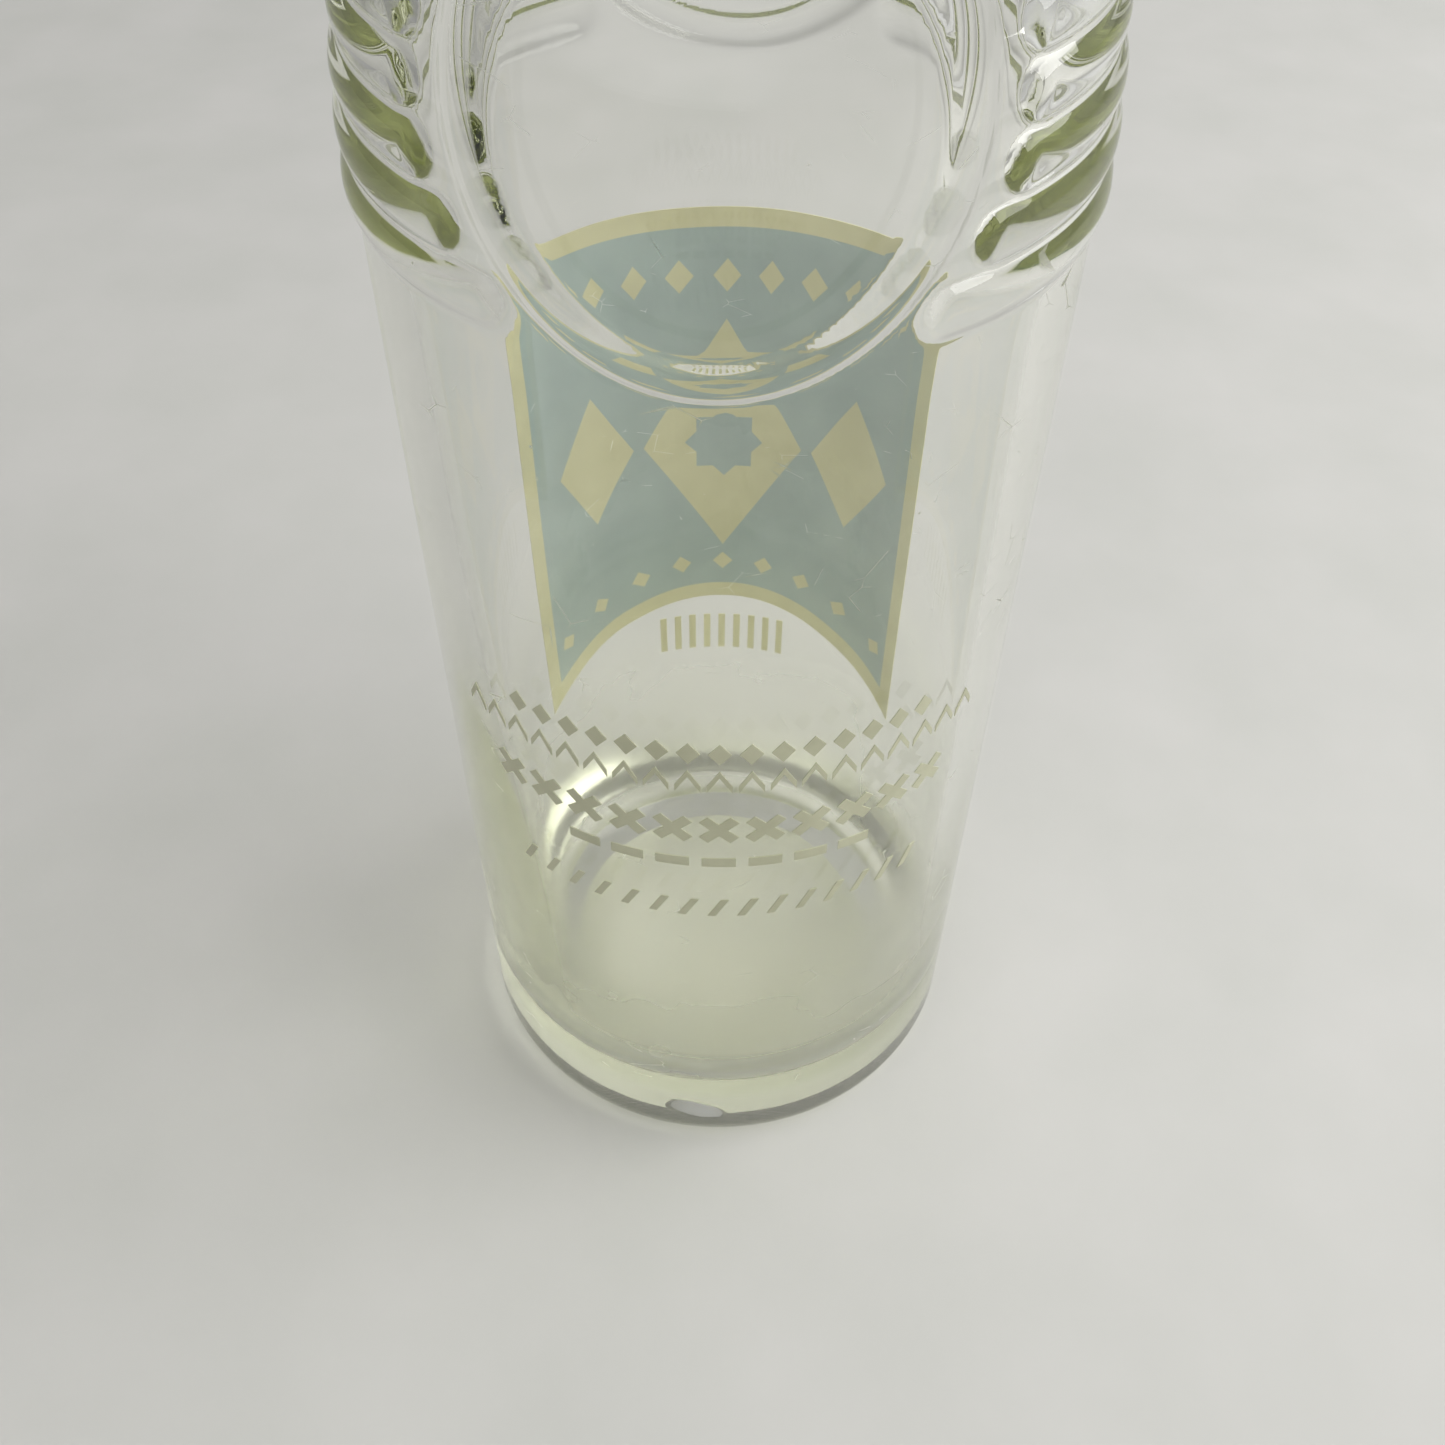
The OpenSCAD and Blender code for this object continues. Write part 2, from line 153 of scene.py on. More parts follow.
def cord_height(off: float, relief: float, half_w: float) -> float:
    """Height over the wall of a cord with a round section.

    Args:
        off: Distance from the cord's middle line.
        relief: Height at the middle line.
        half_w: Half the cord's width where it meets the wall.

    Returns:
        The height, below 0 outside the cord.
    """
    r = (half_w**2 + relief**2) / (2 * relief)
    return math.sqrt(max(r**2 - off**2, 0)) - (r - relief)


# ---------------------------------------------------------------------------------------------
# Work on meshes
# ---------------------------------------------------------------------------------------------


def clear_selection() -> None:
    """Leaves edit mode and selects nothing."""
    if bpy.context.mode != "OBJECT":
        bpy.ops.object.mode_set(mode="OBJECT")
    bpy.ops.object.select_all(action="DESELECT")


def pick(piece: bpy.types.Object) -> None:
    """Makes a piece the only one selected, and active.

    Args:
        piece: The piece to work on next.
    """
    clear_selection()
    piece.select_set(True)
    bpy.context.view_layer.objects.active = piece


def trace(name: str, points: Sequence[Point]) -> bpy.types.Object:
    """Draws an open outline in the XZ plane by extruding one vertex from point to point.

    Args:
        name: Name of the new piece.
        points: The outline in millimetres, across and up.

    Returns:
        The piece, in edit mode with every vertex selected.
    """
    clear_selection()
    bpy.ops.mesh.primitive_plane_add(size=MM)
    piece = bpy.context.active_object
    piece.name = name
    piece.data.name = name
    bpy.ops.object.mode_set(mode="EDIT")
    bpy.ops.mesh.select_mode(type="VERT")
    bpy.ops.mesh.select_all(action="SELECT")
    bpy.ops.mesh.merge(type="CENTER")
    bpy.ops.transform.translate(value=(points[0][0] * MM, 0, points[0][1] * MM))
    for (x0, z0), (x1, z1) in zip(points, points[1:]):
        step = ((x1 - x0) * MM, 0, (z1 - z0) * MM)
        bpy.ops.mesh.extrude_region_move(TRANSFORM_OT_translate={"value": step})
    bpy.ops.mesh.select_all(action="SELECT")
    return piece


def spin_round(steps: int) -> None:
    """Spins the outline in edit mode round the Z axis into a closed skin.

    Args:
        steps: Number of faces round the axis.
    """
    bpy.ops.mesh.spin(steps=steps, angle=math.tau, center=(0, 0, 0), axis=(0, 0, 1))
    bpy.ops.mesh.select_all(action="SELECT")
    bpy.ops.mesh.remove_doubles(threshold=SEAM * MM)
    bpy.ops.mesh.normals_make_consistent(inside=False)
    bpy.ops.object.mode_set(mode="OBJECT")


def plate(name: str, outline: Sequence[Point], depths: tuple[float, float]) -> bpy.types.Object:
    """Makes a flat plate in the XZ plane from a closed outline.

    Args:
        name: Name of the new piece.
        outline: The corners in millimetres, without the first repeated.
        depths: Where the plate's two faces lie along Y, in millimetres.

    Returns:
        The plate, in object mode.
    """
    piece = trace(name, outline)
    bpy.ops.mesh.edge_face_add()
    bpy.ops.transform.translate(value=(0, depths[0] * MM, 0))
    thickness = (0, (depths[1] - depths[0]) * MM, 0)
    bpy.ops.mesh.extrude_region_move(TRANSFORM_OT_translate={"value": thickness})
    bpy.ops.mesh.select_all(action="SELECT")
    bpy.ops.mesh.normals_make_consistent(inside=False)
    bpy.ops.object.mode_set(mode="OBJECT")
    return piece


def slice_across(piece: bpy.types.Object, spacing: float) -> None:
    """Cuts a piece into strips across X, so that it can be bent.

    Args:
        piece: The flat piece.
        spacing: Width of a strip in millimetres.
    """
    reach = max(abs(v.co.x) for v in piece.data.vertices) / MM
    count = int(reach / spacing)
    pick(piece)
    bpy.ops.object.mode_set(mode="EDIT")
    for i in range(-count, count + 1):
        bpy.ops.mesh.select_all(action="SELECT")
        bpy.ops.mesh.bisect(plane_co=(i * spacing * MM, 0, 0), plane_no=(1, 0, 0))
    bpy.ops.object.mode_set(mode="OBJECT")


def apply_modifier(piece: bpy.types.Object, kind: str, **settings: object) -> None:
    """Adds a modifier with its settings and applies it.

    Args:
        piece: The piece to change.
        kind: Blender's name for the modifier's type.
        **settings: The modifier's properties.
    """
    pick(piece)
    modifier = piece.modifiers.new(kind.title(), kind)
    for name, value in settings.items():
        setattr(modifier, name, value)
    bpy.ops.object.modifier_apply(modifier=modifier.name)


def raise_by(piece: bpy.types.Object, height: float, share: Callable[[Vector], float]) -> None:
    """Moves a mesh along its normals by a share of a height that varies from place to place.

    Args:
        piece: The piece to change.
        height: Full height in millimetres, below 0 to sink.
        share: Gives each vertex's share of the height, from 0 to 1, from its place in millimetres.
    """
    group = piece.vertex_groups.new(name="share")
    for vertex in piece.data.vertices:
        weight = share(vertex.co / MM)
        if weight > 0:
            group.add([vertex.index], min(weight, 1), "REPLACE")
    apply_modifier(
        piece, "DISPLACE", strength=height * MM, mid_level=0, direction="NORMAL",
        vertex_group=group.name,
    )
    piece.vertex_groups.clear()


def join_pieces(name: str, pieces: Sequence[bpy.types.Object]) -> bpy.types.Object:
    """Joins several meshes into one piece.

    Args:
        name: Name of the joined piece.
        pieces: The meshes, of which the first takes in the others.

    Returns:
        The joined piece.
    """
    clear_selection()
    for piece in pieces:
        piece.select_set(True)
    bpy.context.view_layer.objects.active = pieces[0]
    if len(pieces) > 1:
        bpy.ops.object.join()
    pieces[0].name = name
    pieces[0].data.name = name
    return pieces[0]


def copy_of(piece: bpy.types.Object, turn: float, move: Point) -> bpy.types.Object:
    """Copies a flat piece with its own mesh, turned in the XZ plane and then moved.

    Args:
        piece: The piece to copy.
        turn: Turn in degrees, anticlockwise as seen from -Y.
        move: How far to move it in millimetres, across and up.

    Returns:
        The copy.
    """
    pick(piece)
    bpy.ops.object.duplicate()
    copy = bpy.context.active_object
    place = Matrix.Translation((move[0] * MM, 0, move[1] * MM))
    copy.data.transform(place @ Matrix.Rotation(-math.radians(turn), 4, "Y"))
    return copy


def smooth(piece: bpy.types.Object, angle: Optional[float] = None) -> None:
    """Shades a piece smooth.

    Args:
        piece: The piece to shade.
        angle: Sharpest edge in degrees that is still smoothed. None smooths them all.
    """
    pick(piece)
    if angle is None:
        bpy.ops.object.shade_smooth()
    else:
        bpy.ops.object.shade_smooth_by_angle(angle=math.radians(angle))


# ---------------------------------------------------------------------------------------------
# Finishes
# ---------------------------------------------------------------------------------------------


def linear(code: str) -> tuple[float, float, float, float]:
    """Turns an sRGB colour into Blender's linear colour.

    Args:
        code: The colour as hex, such as "#c8c0a0".

    Returns:
        Red, green, blue and an alpha of 1.
    """
    shares = [int(code[i : i + 2], 16) / 255 for i in (1, 3, 5)]
    values = [c / 12.92 if c <= 0.04045 else ((c + 0.055) / 1.055) ** 2.4 for c in shares]
    return (*values, 1.0)


def add_node(
    tree: bpy.types.NodeTree, kind: str, sockets: Optional[dict] = None, **settings: object
) -> bpy.types.Node:
    """Adds a node with its settings, values and links.

    Args:
        tree: The node tree.
        kind: Blender's name for the node's type.
        sockets: Input names or indices, each with a value or with the output to link to it.
        **settings: The node's properties.

    Returns:
        The new node.
    """
    node = tree.nodes.new(kind)
    for name, value in settings.items():
        setattr(node, name, value)
    for key, value in (sockets or {}).items():
        if isinstance(value, bpy.types.NodeSocket):
            tree.links.new(value, node.inputs[key])
        else:
            node.inputs[key].default_value = value
    return node


def new_material(name: str) -> tuple[bpy.types.Material, bpy.types.NodeTree]:
    """Makes an empty node material.

    Args:
        name: Name of the material.

    Returns:
        The material and its tree.
    """
    material = bpy.data.materials.new(name)
    material.use_nodes = True
    material.node_tree.nodes.clear()
    return material, material.node_tree


@dataclass(frozen=True)
class FlintGlass:
    """Soda-lime flint glass, blown in a mould: clear, with a faint olive tint in its thick parts.

    The skin is fire-polished, so it is smooth, but many fillings and crates have left it with fine
    scratches and pinhead bruises, which scatter light and show as pale hairs and specks.
    """

    ior: float = 1.52
    # What a metre of the glass takes off red, green and blue. The iron left in the sand and long
    # use give it the olive cast, which shows where light runs along the wall or through the base.
    tint_per_m: tuple[float, float, float] = (3.1, 2.75, 6.2)
    # Scratches and bruises are drawn as wide as they need to be to show.
    scratch_l: float = 9
    scratch_w: float = 0.11
    scratched_over: float = 0.6
    bruise_gap: float = 5
    bruise_w: float = 0.3
    bruised_share: float = 0.45
    # The skin beyond this radius is the outer one, which rubs on other bottles.
    worn_r: float = 37
    scuffed: float = 0.42
    # The foot that slides on crates and belts is ground dull.
    foot_h: tuple[float, float] = (2.5, 4.5)
    foot_scuffed: float = 0.22
    # Water left in the bottle has etched a faint bloom inside its lower half, in patches, and the
    # bloom tints what is seen through it.
    bloom_h: tuple[float, float] = (26, 80)
    bloom: float = 0.36
    bloom_patch_w: float = 22
    stain: str = "#fefff0"
    # The floor inside, up to the round of the heel, was brushed cleaner.
    brushed_h: tuple[float, float] = (9.8, 14)
    brushed: float = 0.4

    def scratches(self, tree: bpy.types.NodeTree, place: bpy.types.NodeSocket) -> bpy.types.NodeSocket:
        """Fine scratches, about scratch_l long, wherever a broad noise lets them through.

        Args:
            tree: The material's tree.
            place: Object coordinates.

        Returns:
            A mask, 1 in a scratch.
        """
        slanted = add_node(tree, "ShaderNodeMapping", {
            "Vector": place, "Rotation": (0.5, 0.3, 0.2), "Scale": (1, 1, 1.7),
        })
        cells = add_node(tree, "ShaderNodeTexVoronoi", {
            "Vector": slanted.outputs["Vector"], "Scale": 1 / (self.scratch_l * MM),
        }, feature="DISTANCE_TO_EDGE")
        hair = add_node(tree, "ShaderNodeMapRange", {
            "Value": cells.outputs["Distance"], "From Min": 0.0,
            "From Max": self.scratch_w / self.scratch_l, "To Min": 1.0, "To Max": 0.0,
        })
        where = add_node(tree, "ShaderNodeTexNoise", {
            "Vector": place, "Scale": 1 / (0.9 * self.scratch_l * MM), "Detail": 2.0,
        })
        shown = add_node(tree, "ShaderNodeMapRange", {
            "Value": where.outputs["Fac"], "From Min": self.scratched_over,
            "From Max": self.scratched_over + 0.06,
        })
        both = add_node(tree, "ShaderNodeMath", {
            0: hair.outputs["Result"], 1: shown.outputs["Result"],
        }, operation="MULTIPLY")
        return both.outputs["Value"]

    def bruises(self, tree: bpy.types.NodeTree, place: bpy.types.NodeSocket) -> bpy.types.NodeSocket:
        """Pinhead bruises, one in a cell of bruise_gap, but only in some cells.

        Args:
            tree: The material's tree.
            place: Object coordinates.

        Returns:
            A mask, 1 in a bruise.
        """
        cells = add_node(tree, "ShaderNodeTexVoronoi", {
            "Vector": place, "Scale": 1 / (self.bruise_gap * MM),
        })
        spot = add_node(tree, "ShaderNodeMapRange", {
            "Value": cells.outputs["Distance"], "From Min": 0.0,
            "From Max": self.bruise_w / self.bruise_gap, "To Min": 1.0, "To Max": 0.0,
        })
        chance = add_node(tree, "ShaderNodeSeparateXYZ", {0: cells.outputs["Color"]})
        chosen = add_node(tree, "ShaderNodeMath", {
            0: chance.outputs["X"], 1: self.bruised_share,
        }, operation="LESS_THAN")
        both = add_node(tree, "ShaderNodeMath", {
            0: spot.outputs["Result"], 1: chosen.outputs["Value"],
        }, operation="MULTIPLY")
        return both.outputs["Value"]

    def etched(
        self, tree: bpy.types.NodeTree, place: bpy.types.NodeSocket, height: bpy.types.NodeSocket
    ) -> bpy.types.NodeSocket:
        """The bloom: even over the heel, fading out upwards, and fainter on the floor.

        Args:
            tree: The material's tree.
            place: Object coordinates.
            height: Their Z.

        Returns:
            The roughness that the bloom gives the inner skin.
        """
        fading = add_node(tree, "ShaderNodeMapRange", {
            "Value": height, "From Min": self.bloom_h[0] * MM,
            "From Max": self.bloom_h[1] * MM, "To Min": self.bloom, "To Max": 0.0,
        })
        cloud = add_node(tree, "ShaderNodeTexNoise", {
            "Vector": place, "Scale": 1 / (self.bloom_patch_w * MM), "Detail": 3.0,
        })
        patches = add_node(tree, "ShaderNodeMapRange", {
            "Value": cloud.outputs["Fac"], "From Min": 0.3, "From Max": 0.6,
            "To Min": 0.6, "To Max": 1.0,
        })
        patchy = add_node(tree, "ShaderNodeMath", {
            0: fading.outputs["Result"], 1: patches.outputs["Result"],
        }, operation="MULTIPLY")
        brushed = add_node(tree, "ShaderNodeMapRange", {
            "Value": height, "From Min": self.brushed_h[0] * MM,
            "From Max": self.brushed_h[1] * MM, "To Min": self.brushed, "To Max": 1.0,
        })
        left = add_node(tree, "ShaderNodeMath", {
            0: patchy.outputs["Value"], 1: brushed.outputs["Result"],
        }, operation="MULTIPLY")
        return left.outputs["Value"]

    def make(self) -> bpy.types.Material:
        """Builds the material.

        Returns:
            The material.
        """
        material, tree = new_material("blown_flint_glass")
        place = add_node(tree, "ShaderNodeTexCoord").outputs["Object"]
        parts = add_node(tree, "ShaderNodeSeparateXYZ", {0: place})
        across = add_node(tree, "ShaderNodeCombineXYZ", {
            "X": parts.outputs["X"], "Y": parts.outputs["Y"],
        })
        radius = add_node(tree, "ShaderNodeVectorMath", {0: across.outputs["Vector"]}, operation="LENGTH")
        outside = add_node(tree, "ShaderNodeMath", {
            0: radius.outputs["Value"], 1: self.worn_r * MM,
        }, operation="GREATER_THAN")
        marks = add_node(tree, "ShaderNodeMath", {
            0: self.scratches(tree, place), 1: self.bruises(tree, place),
        }, operation="MAXIMUM")
        wear = add_node(tree, "ShaderNodeMath", {
            0: marks.outputs["Value"], 1: outside.outputs["Value"],
        }, operation="MULTIPLY")
        worn = add_node(tree, "ShaderNodeMath", {
            0: wear.outputs["Value"], 1: self.scuffed,
        }, operation="MULTIPLY")
        foot = add_node(tree, "ShaderNodeMapRange", {
            "Value": parts.outputs["Z"], "From Min": self.foot_h[0] * MM,
            "From Max": self.foot_h[1] * MM, "To Min": self.foot_scuffed, "To Max": 0.0,
        })
        within = add_node(tree, "ShaderNodeMath", {
            0: 1.0, 1: outside.outputs["Value"],
        }, operation="SUBTRACT")
        bloomed = add_node(tree, "ShaderNodeMath", {
            0: self.etched(tree, place, parts.outputs["Z"]), 1: within.outputs["Value"],
        }, operation="MULTIPLY")
        stain = add_node(tree, "ShaderNodeValToRGB", {"Fac": bloomed.outputs["Value"]})
        stain.color_ramp.elements[0].color = (1, 1, 1, 1)
        stain.color_ramp.elements[1].position = self.bloom
        stain.color_ramp.elements[1].color = linear(self.stain)
        dulled = add_node(tree, "ShaderNodeMath", {
            0: worn.outputs["Value"], 1: bloomed.outputs["Value"],
        }, operation="MAXIMUM")
        rough = add_node(tree, "ShaderNodeMath", {
            0: dulled.outputs["Value"], 1: foot.outputs["Result"],
        }, operation="MAXIMUM")
        # An absorption colour of 0 would need an endless density, so the densest stays above it.
        density = max(self.tint_per_m) * 1.05
        passed = [1 - t / density for t in self.tint_per_m]
        surface = add_node(tree, "ShaderNodeBsdfPrincipled", {
            "Base Color": stain.outputs["Color"],
            "Roughness": rough.outputs["Value"],
            "IOR": self.ior,
            "Transmission Weight": 1.0,
        })
        inside = add_node(tree, "ShaderNodeVolumeAbsorption", {
            "Color": (*passed, 1),
            "Density": density,
        })
        add_node(tree, "ShaderNodeOutputMaterial", {
            "Surface": surface.outputs["BSDF"],
            "Volume": inside.outputs["Volume"],
        })
        return material


@dataclass(frozen=True)
class FiredEnamel:
    """Ceramic ink screened onto the glass and fired: opaque, with a dull gloss and a faint grain."""

    name: str
    colour: str
    shade: str
    roughness: float = 0.38
    grain: float = 0.35

    def make(self) -> bpy.types.Material:
        """Builds the material.

        Returns:
            The material.
        """
        material, tree = new_material(self.name)
        place = add_node(tree, "ShaderNodeTexCoord").outputs["Object"]
        cloud = add_node(tree, "ShaderNodeTexNoise", {
            "Vector": place, "Scale": 1 / (9 * MM), "Detail": 4.0, "Roughness": 0.6,
        })
        tone = add_node(tree, "ShaderNodeValToRGB", {"Fac": cloud.outputs["Fac"]})
        tone.color_ramp.elements[0].position = 0.35
        tone.color_ramp.elements[0].color = linear(self.shade)
        tone.color_ramp.elements[1].position = 0.65
        tone.color_ramp.elements[1].color = linear(self.colour)
        grain = add_node(tree, "ShaderNodeTexNoise", {
            "Vector": place, "Scale": 1 / (self.grain * MM), "Detail": 2.0,
        })
        bump = add_node(tree, "ShaderNodeBump", {
            "Strength": 0.15, "Distance": 0.02 * MM, "Height": grain.outputs["Fac"],
        })
        surface = add_node(tree, "ShaderNodeBsdfPrincipled", {
            "Base Color": tone.outputs["Color"],
            "Roughness": self.roughness,
            "Normal": bump.outputs["Normal"],
        })
        add_node(tree, "ShaderNodeOutputMaterial", {"Surface": surface.outputs["BSDF"]})
        return material


@dataclass(frozen=True)
class LacqueredTinplate:
    """Tinned sheet steel under a gold lacquer, drawn and crimped."""

    colour: str = "#d8bd78"
    roughness: float = 0.24

    def make(self) -> bpy.types.Material:
        """Builds the material.

        Returns:
            The material.
        """
        material, tree = new_material("lacquered_tinplate")
        place = add_node(tree, "ShaderNodeTexCoord").outputs["Object"]
        grain = add_node(tree, "ShaderNodeTexNoise", {
            "Vector": place, "Scale": 1 / (1.2 * MM), "Detail": 3.0,
        })
        rough = add_node(tree, "ShaderNodeMapRange", {
            "Value": grain.outputs["Fac"], "To Min": self.roughness - 0.06,
            "To Max": self.roughness + 0.12,
        })
        bump = add_node(tree, "ShaderNodeBump", {
            "Strength": 0.1, "Distance": 0.02 * MM, "Height": grain.outputs["Fac"],
        })
        surface = add_node(tree, "ShaderNodeBsdfPrincipled", {
            "Base Color": linear(self.colour),
            "Metallic": 1.0,
            "Roughness": rough.outputs["Result"],
            "Normal": bump.outputs["Normal"],
        })
        add_node(tree, "ShaderNodeOutputMaterial", {"Surface": surface.outputs["BSDF"]})
        return material


@dataclass(frozen=True)
class LinerCompound:
    """Soft plastic compound moulded into the crown: off-white and waxy."""

    colour: str = "#dcdad0"

    def make(self) -> bpy.types.Material:
        """Builds the material.

        Returns:
            The material.
        """
        material, tree = new_material("liner_compound")
        place = add_node(tree, "ShaderNodeTexCoord").outputs["Object"]
        mottle = add_node(tree, "ShaderNodeTexNoise", {
            "Vector": place, "Scale": 1 / (2.5 * MM), "Detail": 3.0,
        })
        bump = add_node(tree, "ShaderNodeBump", {
            "Strength": 0.2, "Distance": 0.05 * MM, "Height": mottle.outputs["Fac"],
        })
        surface = add_node(tree, "ShaderNodeBsdfPrincipled", {
            "Base Color": linear(self.colour),
            "Roughness": 0.5,
            "Normal": bump.outputs["Normal"],
        })
        add_node(tree, "ShaderNodeOutputMaterial", {"Surface": surface.outputs["BSDF"]})
        return material


@dataclass(frozen=True)
class PalePaper:
    """Matt seamless paper: pale grey, faintly mottled."""

    colour: str = "#c6c5c1"
    shade: str = "#c0c0bb"

    def make(self) -> bpy.types.Material:
        """Builds the material.

        Returns:
            The material.
        """
        material, tree = new_material("seamless_paper")
        place = add_node(tree, "ShaderNodeTexCoord").outputs["Object"]
        mottle = add_node(tree, "ShaderNodeTexNoise", {
            "Vector": place, "Scale": 1 / (40 * MM), "Detail": 5.0,
        })
        tone = add_node(tree, "ShaderNodeValToRGB", {"Fac": mottle.outputs["Fac"]})
        tone.color_ramp.elements[0].position = 0.3
        tone.color_ramp.elements[0].color = linear(self.shade)
        tone.color_ramp.elements[1].position = 0.7
        tone.color_ramp.elements[1].color = linear(self.colour)
        surface = add_node(tree, "ShaderNodeBsdfPrincipled", {
            "Base Color": tone.outputs["Color"], "Roughness": 0.8, "Specular IOR Level": 0.2,
        })
        add_node(tree, "ShaderNodeOutputMaterial", {"Surface": surface.outputs["BSDF"]})
        return material


# ---------------------------------------------------------------------------------------------
# Pieces
# ---------------------------------------------------------------------------------------------


def place_piece(
    piece: bpy.types.Object, body: Body, finish: bpy.types.Material, node: str
) -> None:
    """Dresses a finished piece, sets it on its body and lets it stand for its CAD node.

    Args:
        piece: The finished piece.
        body: The body that it rides on.
        finish: Its material.
        node: The CAD node that it replaces.
    """
    piece.data.materials.clear()
    piece.data.materials.append(finish)
    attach(piece, body.value)
    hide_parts(node)
    LOG.info("%s: %d vertices, stands for %s", piece.name, len(piece.data.vertices), node)


@dataclass
class GlassBottle:
    """The blown bottle: one closed skin, outside and inside."""

    body_r: float = 40
    body_h: float = 149
    heel_r: float = 4
    wall_t: float = 4
    base_t: float = 8
    punt_h: float = 3
    floor_rise: float = 1.5
    bearing_r: float = 29
    cavity_heel_r: float = 16
    shoulder_arc_r: float = 124
    neck_arc_r: float = 96
    neck_r: float = 14.3
    neck_h: float = 21
    # The finish, from the lip down to the ring that it is lifted by.
    finish_h: float = 18
    lip_r: float = 13.3
    lip_round_r: float = 2.1
    lip_inner_r: float = 1
    mouth_r: float = 8
    mouth_l: float = 24
    locking_ring_h: float = 4.2
    locking_ring_chamfer: float = 1
    throat_r: float = 12.6
    transfer_ring_r: float = 15.2
    transfer_ring_w: float = 5
    transfer_ring_foot: float = 1.5
    transfer_ring_round_r: float = 1.6
    # The forms raised by the mould on the shoulder. Its halves stand a little turned to the print.
    hoop_count: int = 9
    hoop_start: float = 2.8
    hoop_pitch: float = 5.8
    hoop_relief: float = 1
    hoop_half_w: float = 3
    mould_turn: float = -1.7
    medallion_rise: float = 20
    medallion_r: float = 23.8
    medallion_half_w: float = 2.3
    medallion_relief: float = 1
    medallion_clear_r: float = 25.2
    fillet: float = 0.06
    # How fine the skin is: faces round it, and the height of a row of them on the shoulder.
    columns: int = 336
    row_h: float = 0.48
    # Waves of the inner wall: their height and spacing, the share and spacing of finer streaks,
    # and how far up and how closely the glass settled in folds.
    ripple: float = 0.5
    ripple_l: float = 30
    streak: float = 0.4
    streak_l: float = 9
    settle_h: float = 50
    settle_l: float = 12
    ripple_from: float = 1
    ripple_fade_l: float = 12
    # Glass that settled thicker down one side, towards this turn from the front.
    slug: float = 1.6
    slug_turn: float = -62
    slug_spread: float = 0.33
    slug_fade: float = 1.3
    # The index mark low on the front: a slanted dent that labelling machines feel for.
    index_turn: float = -4.5
    index_h: float = 8.8
    index_top: float = 13.5
    index_half_w: float = 4.8
    index_half_l: float = 2.0
    index_tilt: float = -0.25
    index_depth: float = 1.8

    @property
    def bulge_a(self) -> float:
        """Angle in degrees that each of the shoulder's two arcs turns through."""
        across = (self.body_r - self.neck_r) / (self.shoulder_arc_r + self.neck_arc_r)
        return math.degrees(math.acos(1 - across))

    @property
    def neck_foot_h(self) -> float:
        """Height at which the shoulder meets the straight neck."""
        rise = math.sin(math.radians(self.bulge_a))
        return self.body_h + (self.shoulder_arc_r + self.neck_arc_r) * rise

    @property
    def finish_foot_h(self) -> float:
        """Height of the finish's foot."""
        return self.neck_foot_h + self.neck_h

    @property
    def height(self) -> float:
        """Height of the lip."""
        return self.finish_foot_h + self.finish_h

    @property
    def medallion_h(self) -> float:
        """Height of the medallion's centre."""
        return self.body_h + self.medallion_rise

    def shoulder_radius(self, z: float) -> float:
        """Radius of the smooth shoulder.

        Args:
            z: Height in millimetres.

        Returns:
            The radius there, and the body's radius below the shoulder.
        """
        up = max(0.0, z - self.body_h)
        bulge_l = self.shoulder_arc_r * math.sin(math.radians(self.bulge_a))
        if up <= bulge_l:
            return self.body_r - self.shoulder_arc_r + math.sqrt(self.shoulder_arc_r**2 - up**2)
        left = max(0.0, self.neck_foot_h - self.body_h - up)
        return self.neck_r + self.neck_arc_r - math.sqrt(self.neck_arc_r**2 - left**2)

    def shoulder_line(self, out: float, steps: tuple[int, int]) -> list[Point]:
        """Points up the shoulder.

        Args:
            out: How far they are moved outwards, or inwards when below 0.
            steps: Numbers of steps along the lower and the upper arc.

        Returns:
            The points, from the body's top to the neck's foot.
        """
        bulge = arc(
            self.body_r - self.shoulder_arc_r, self.body_h, self.shoulder_arc_r + out,
            0, self.bulge_a, steps[0],
        )
        hollow = arc(
            self.neck_r + self.neck_arc_r, self.neck_foot_h, self.neck_arc_r - out,
            180 + self.bulge_a, 180, steps[1],
        )
        return bulge + hollow[1:]

    def finish_line(self) -> list[Point]:
        """Points up the outside of the finish and over the lip.

        Returns:
            The points, from the neck's foot to the top of the lip.
        """
        foot = self.finish_foot_h + self.transfer_ring_foot
        ring_r = self.transfer_ring_round_r
        ring_x = self.transfer_ring_r - ring_r
        ring_top = foot + self.transfer_ring_w
        lip_x = self.lip_r - self.lip_round_r
        return [
            *line((self.neck_r, self.neck_foot_h + 1), (self.neck_r, self.finish_foot_h), 2),
            *arc(ring_x, foot + ring_r, ring_r, -80, 0, 4),
            *arc(ring_x, ring_top - ring_r, ring_r, 0, 80, 4),
            (self.throat_r, ring_top),
            (self.throat_r, self.height - self.locking_ring_h - self.locking_ring_chamfer),
            (self.lip_r - 0.1, self.height - self.locking_ring_h - 0.1),
            (self.lip_r, self.height - self.locking_ring_h + 0.15),
            *arc(lip_x, self.height - self.lip_round_r, self.lip_round_r, 0, 90, 6),
        ]

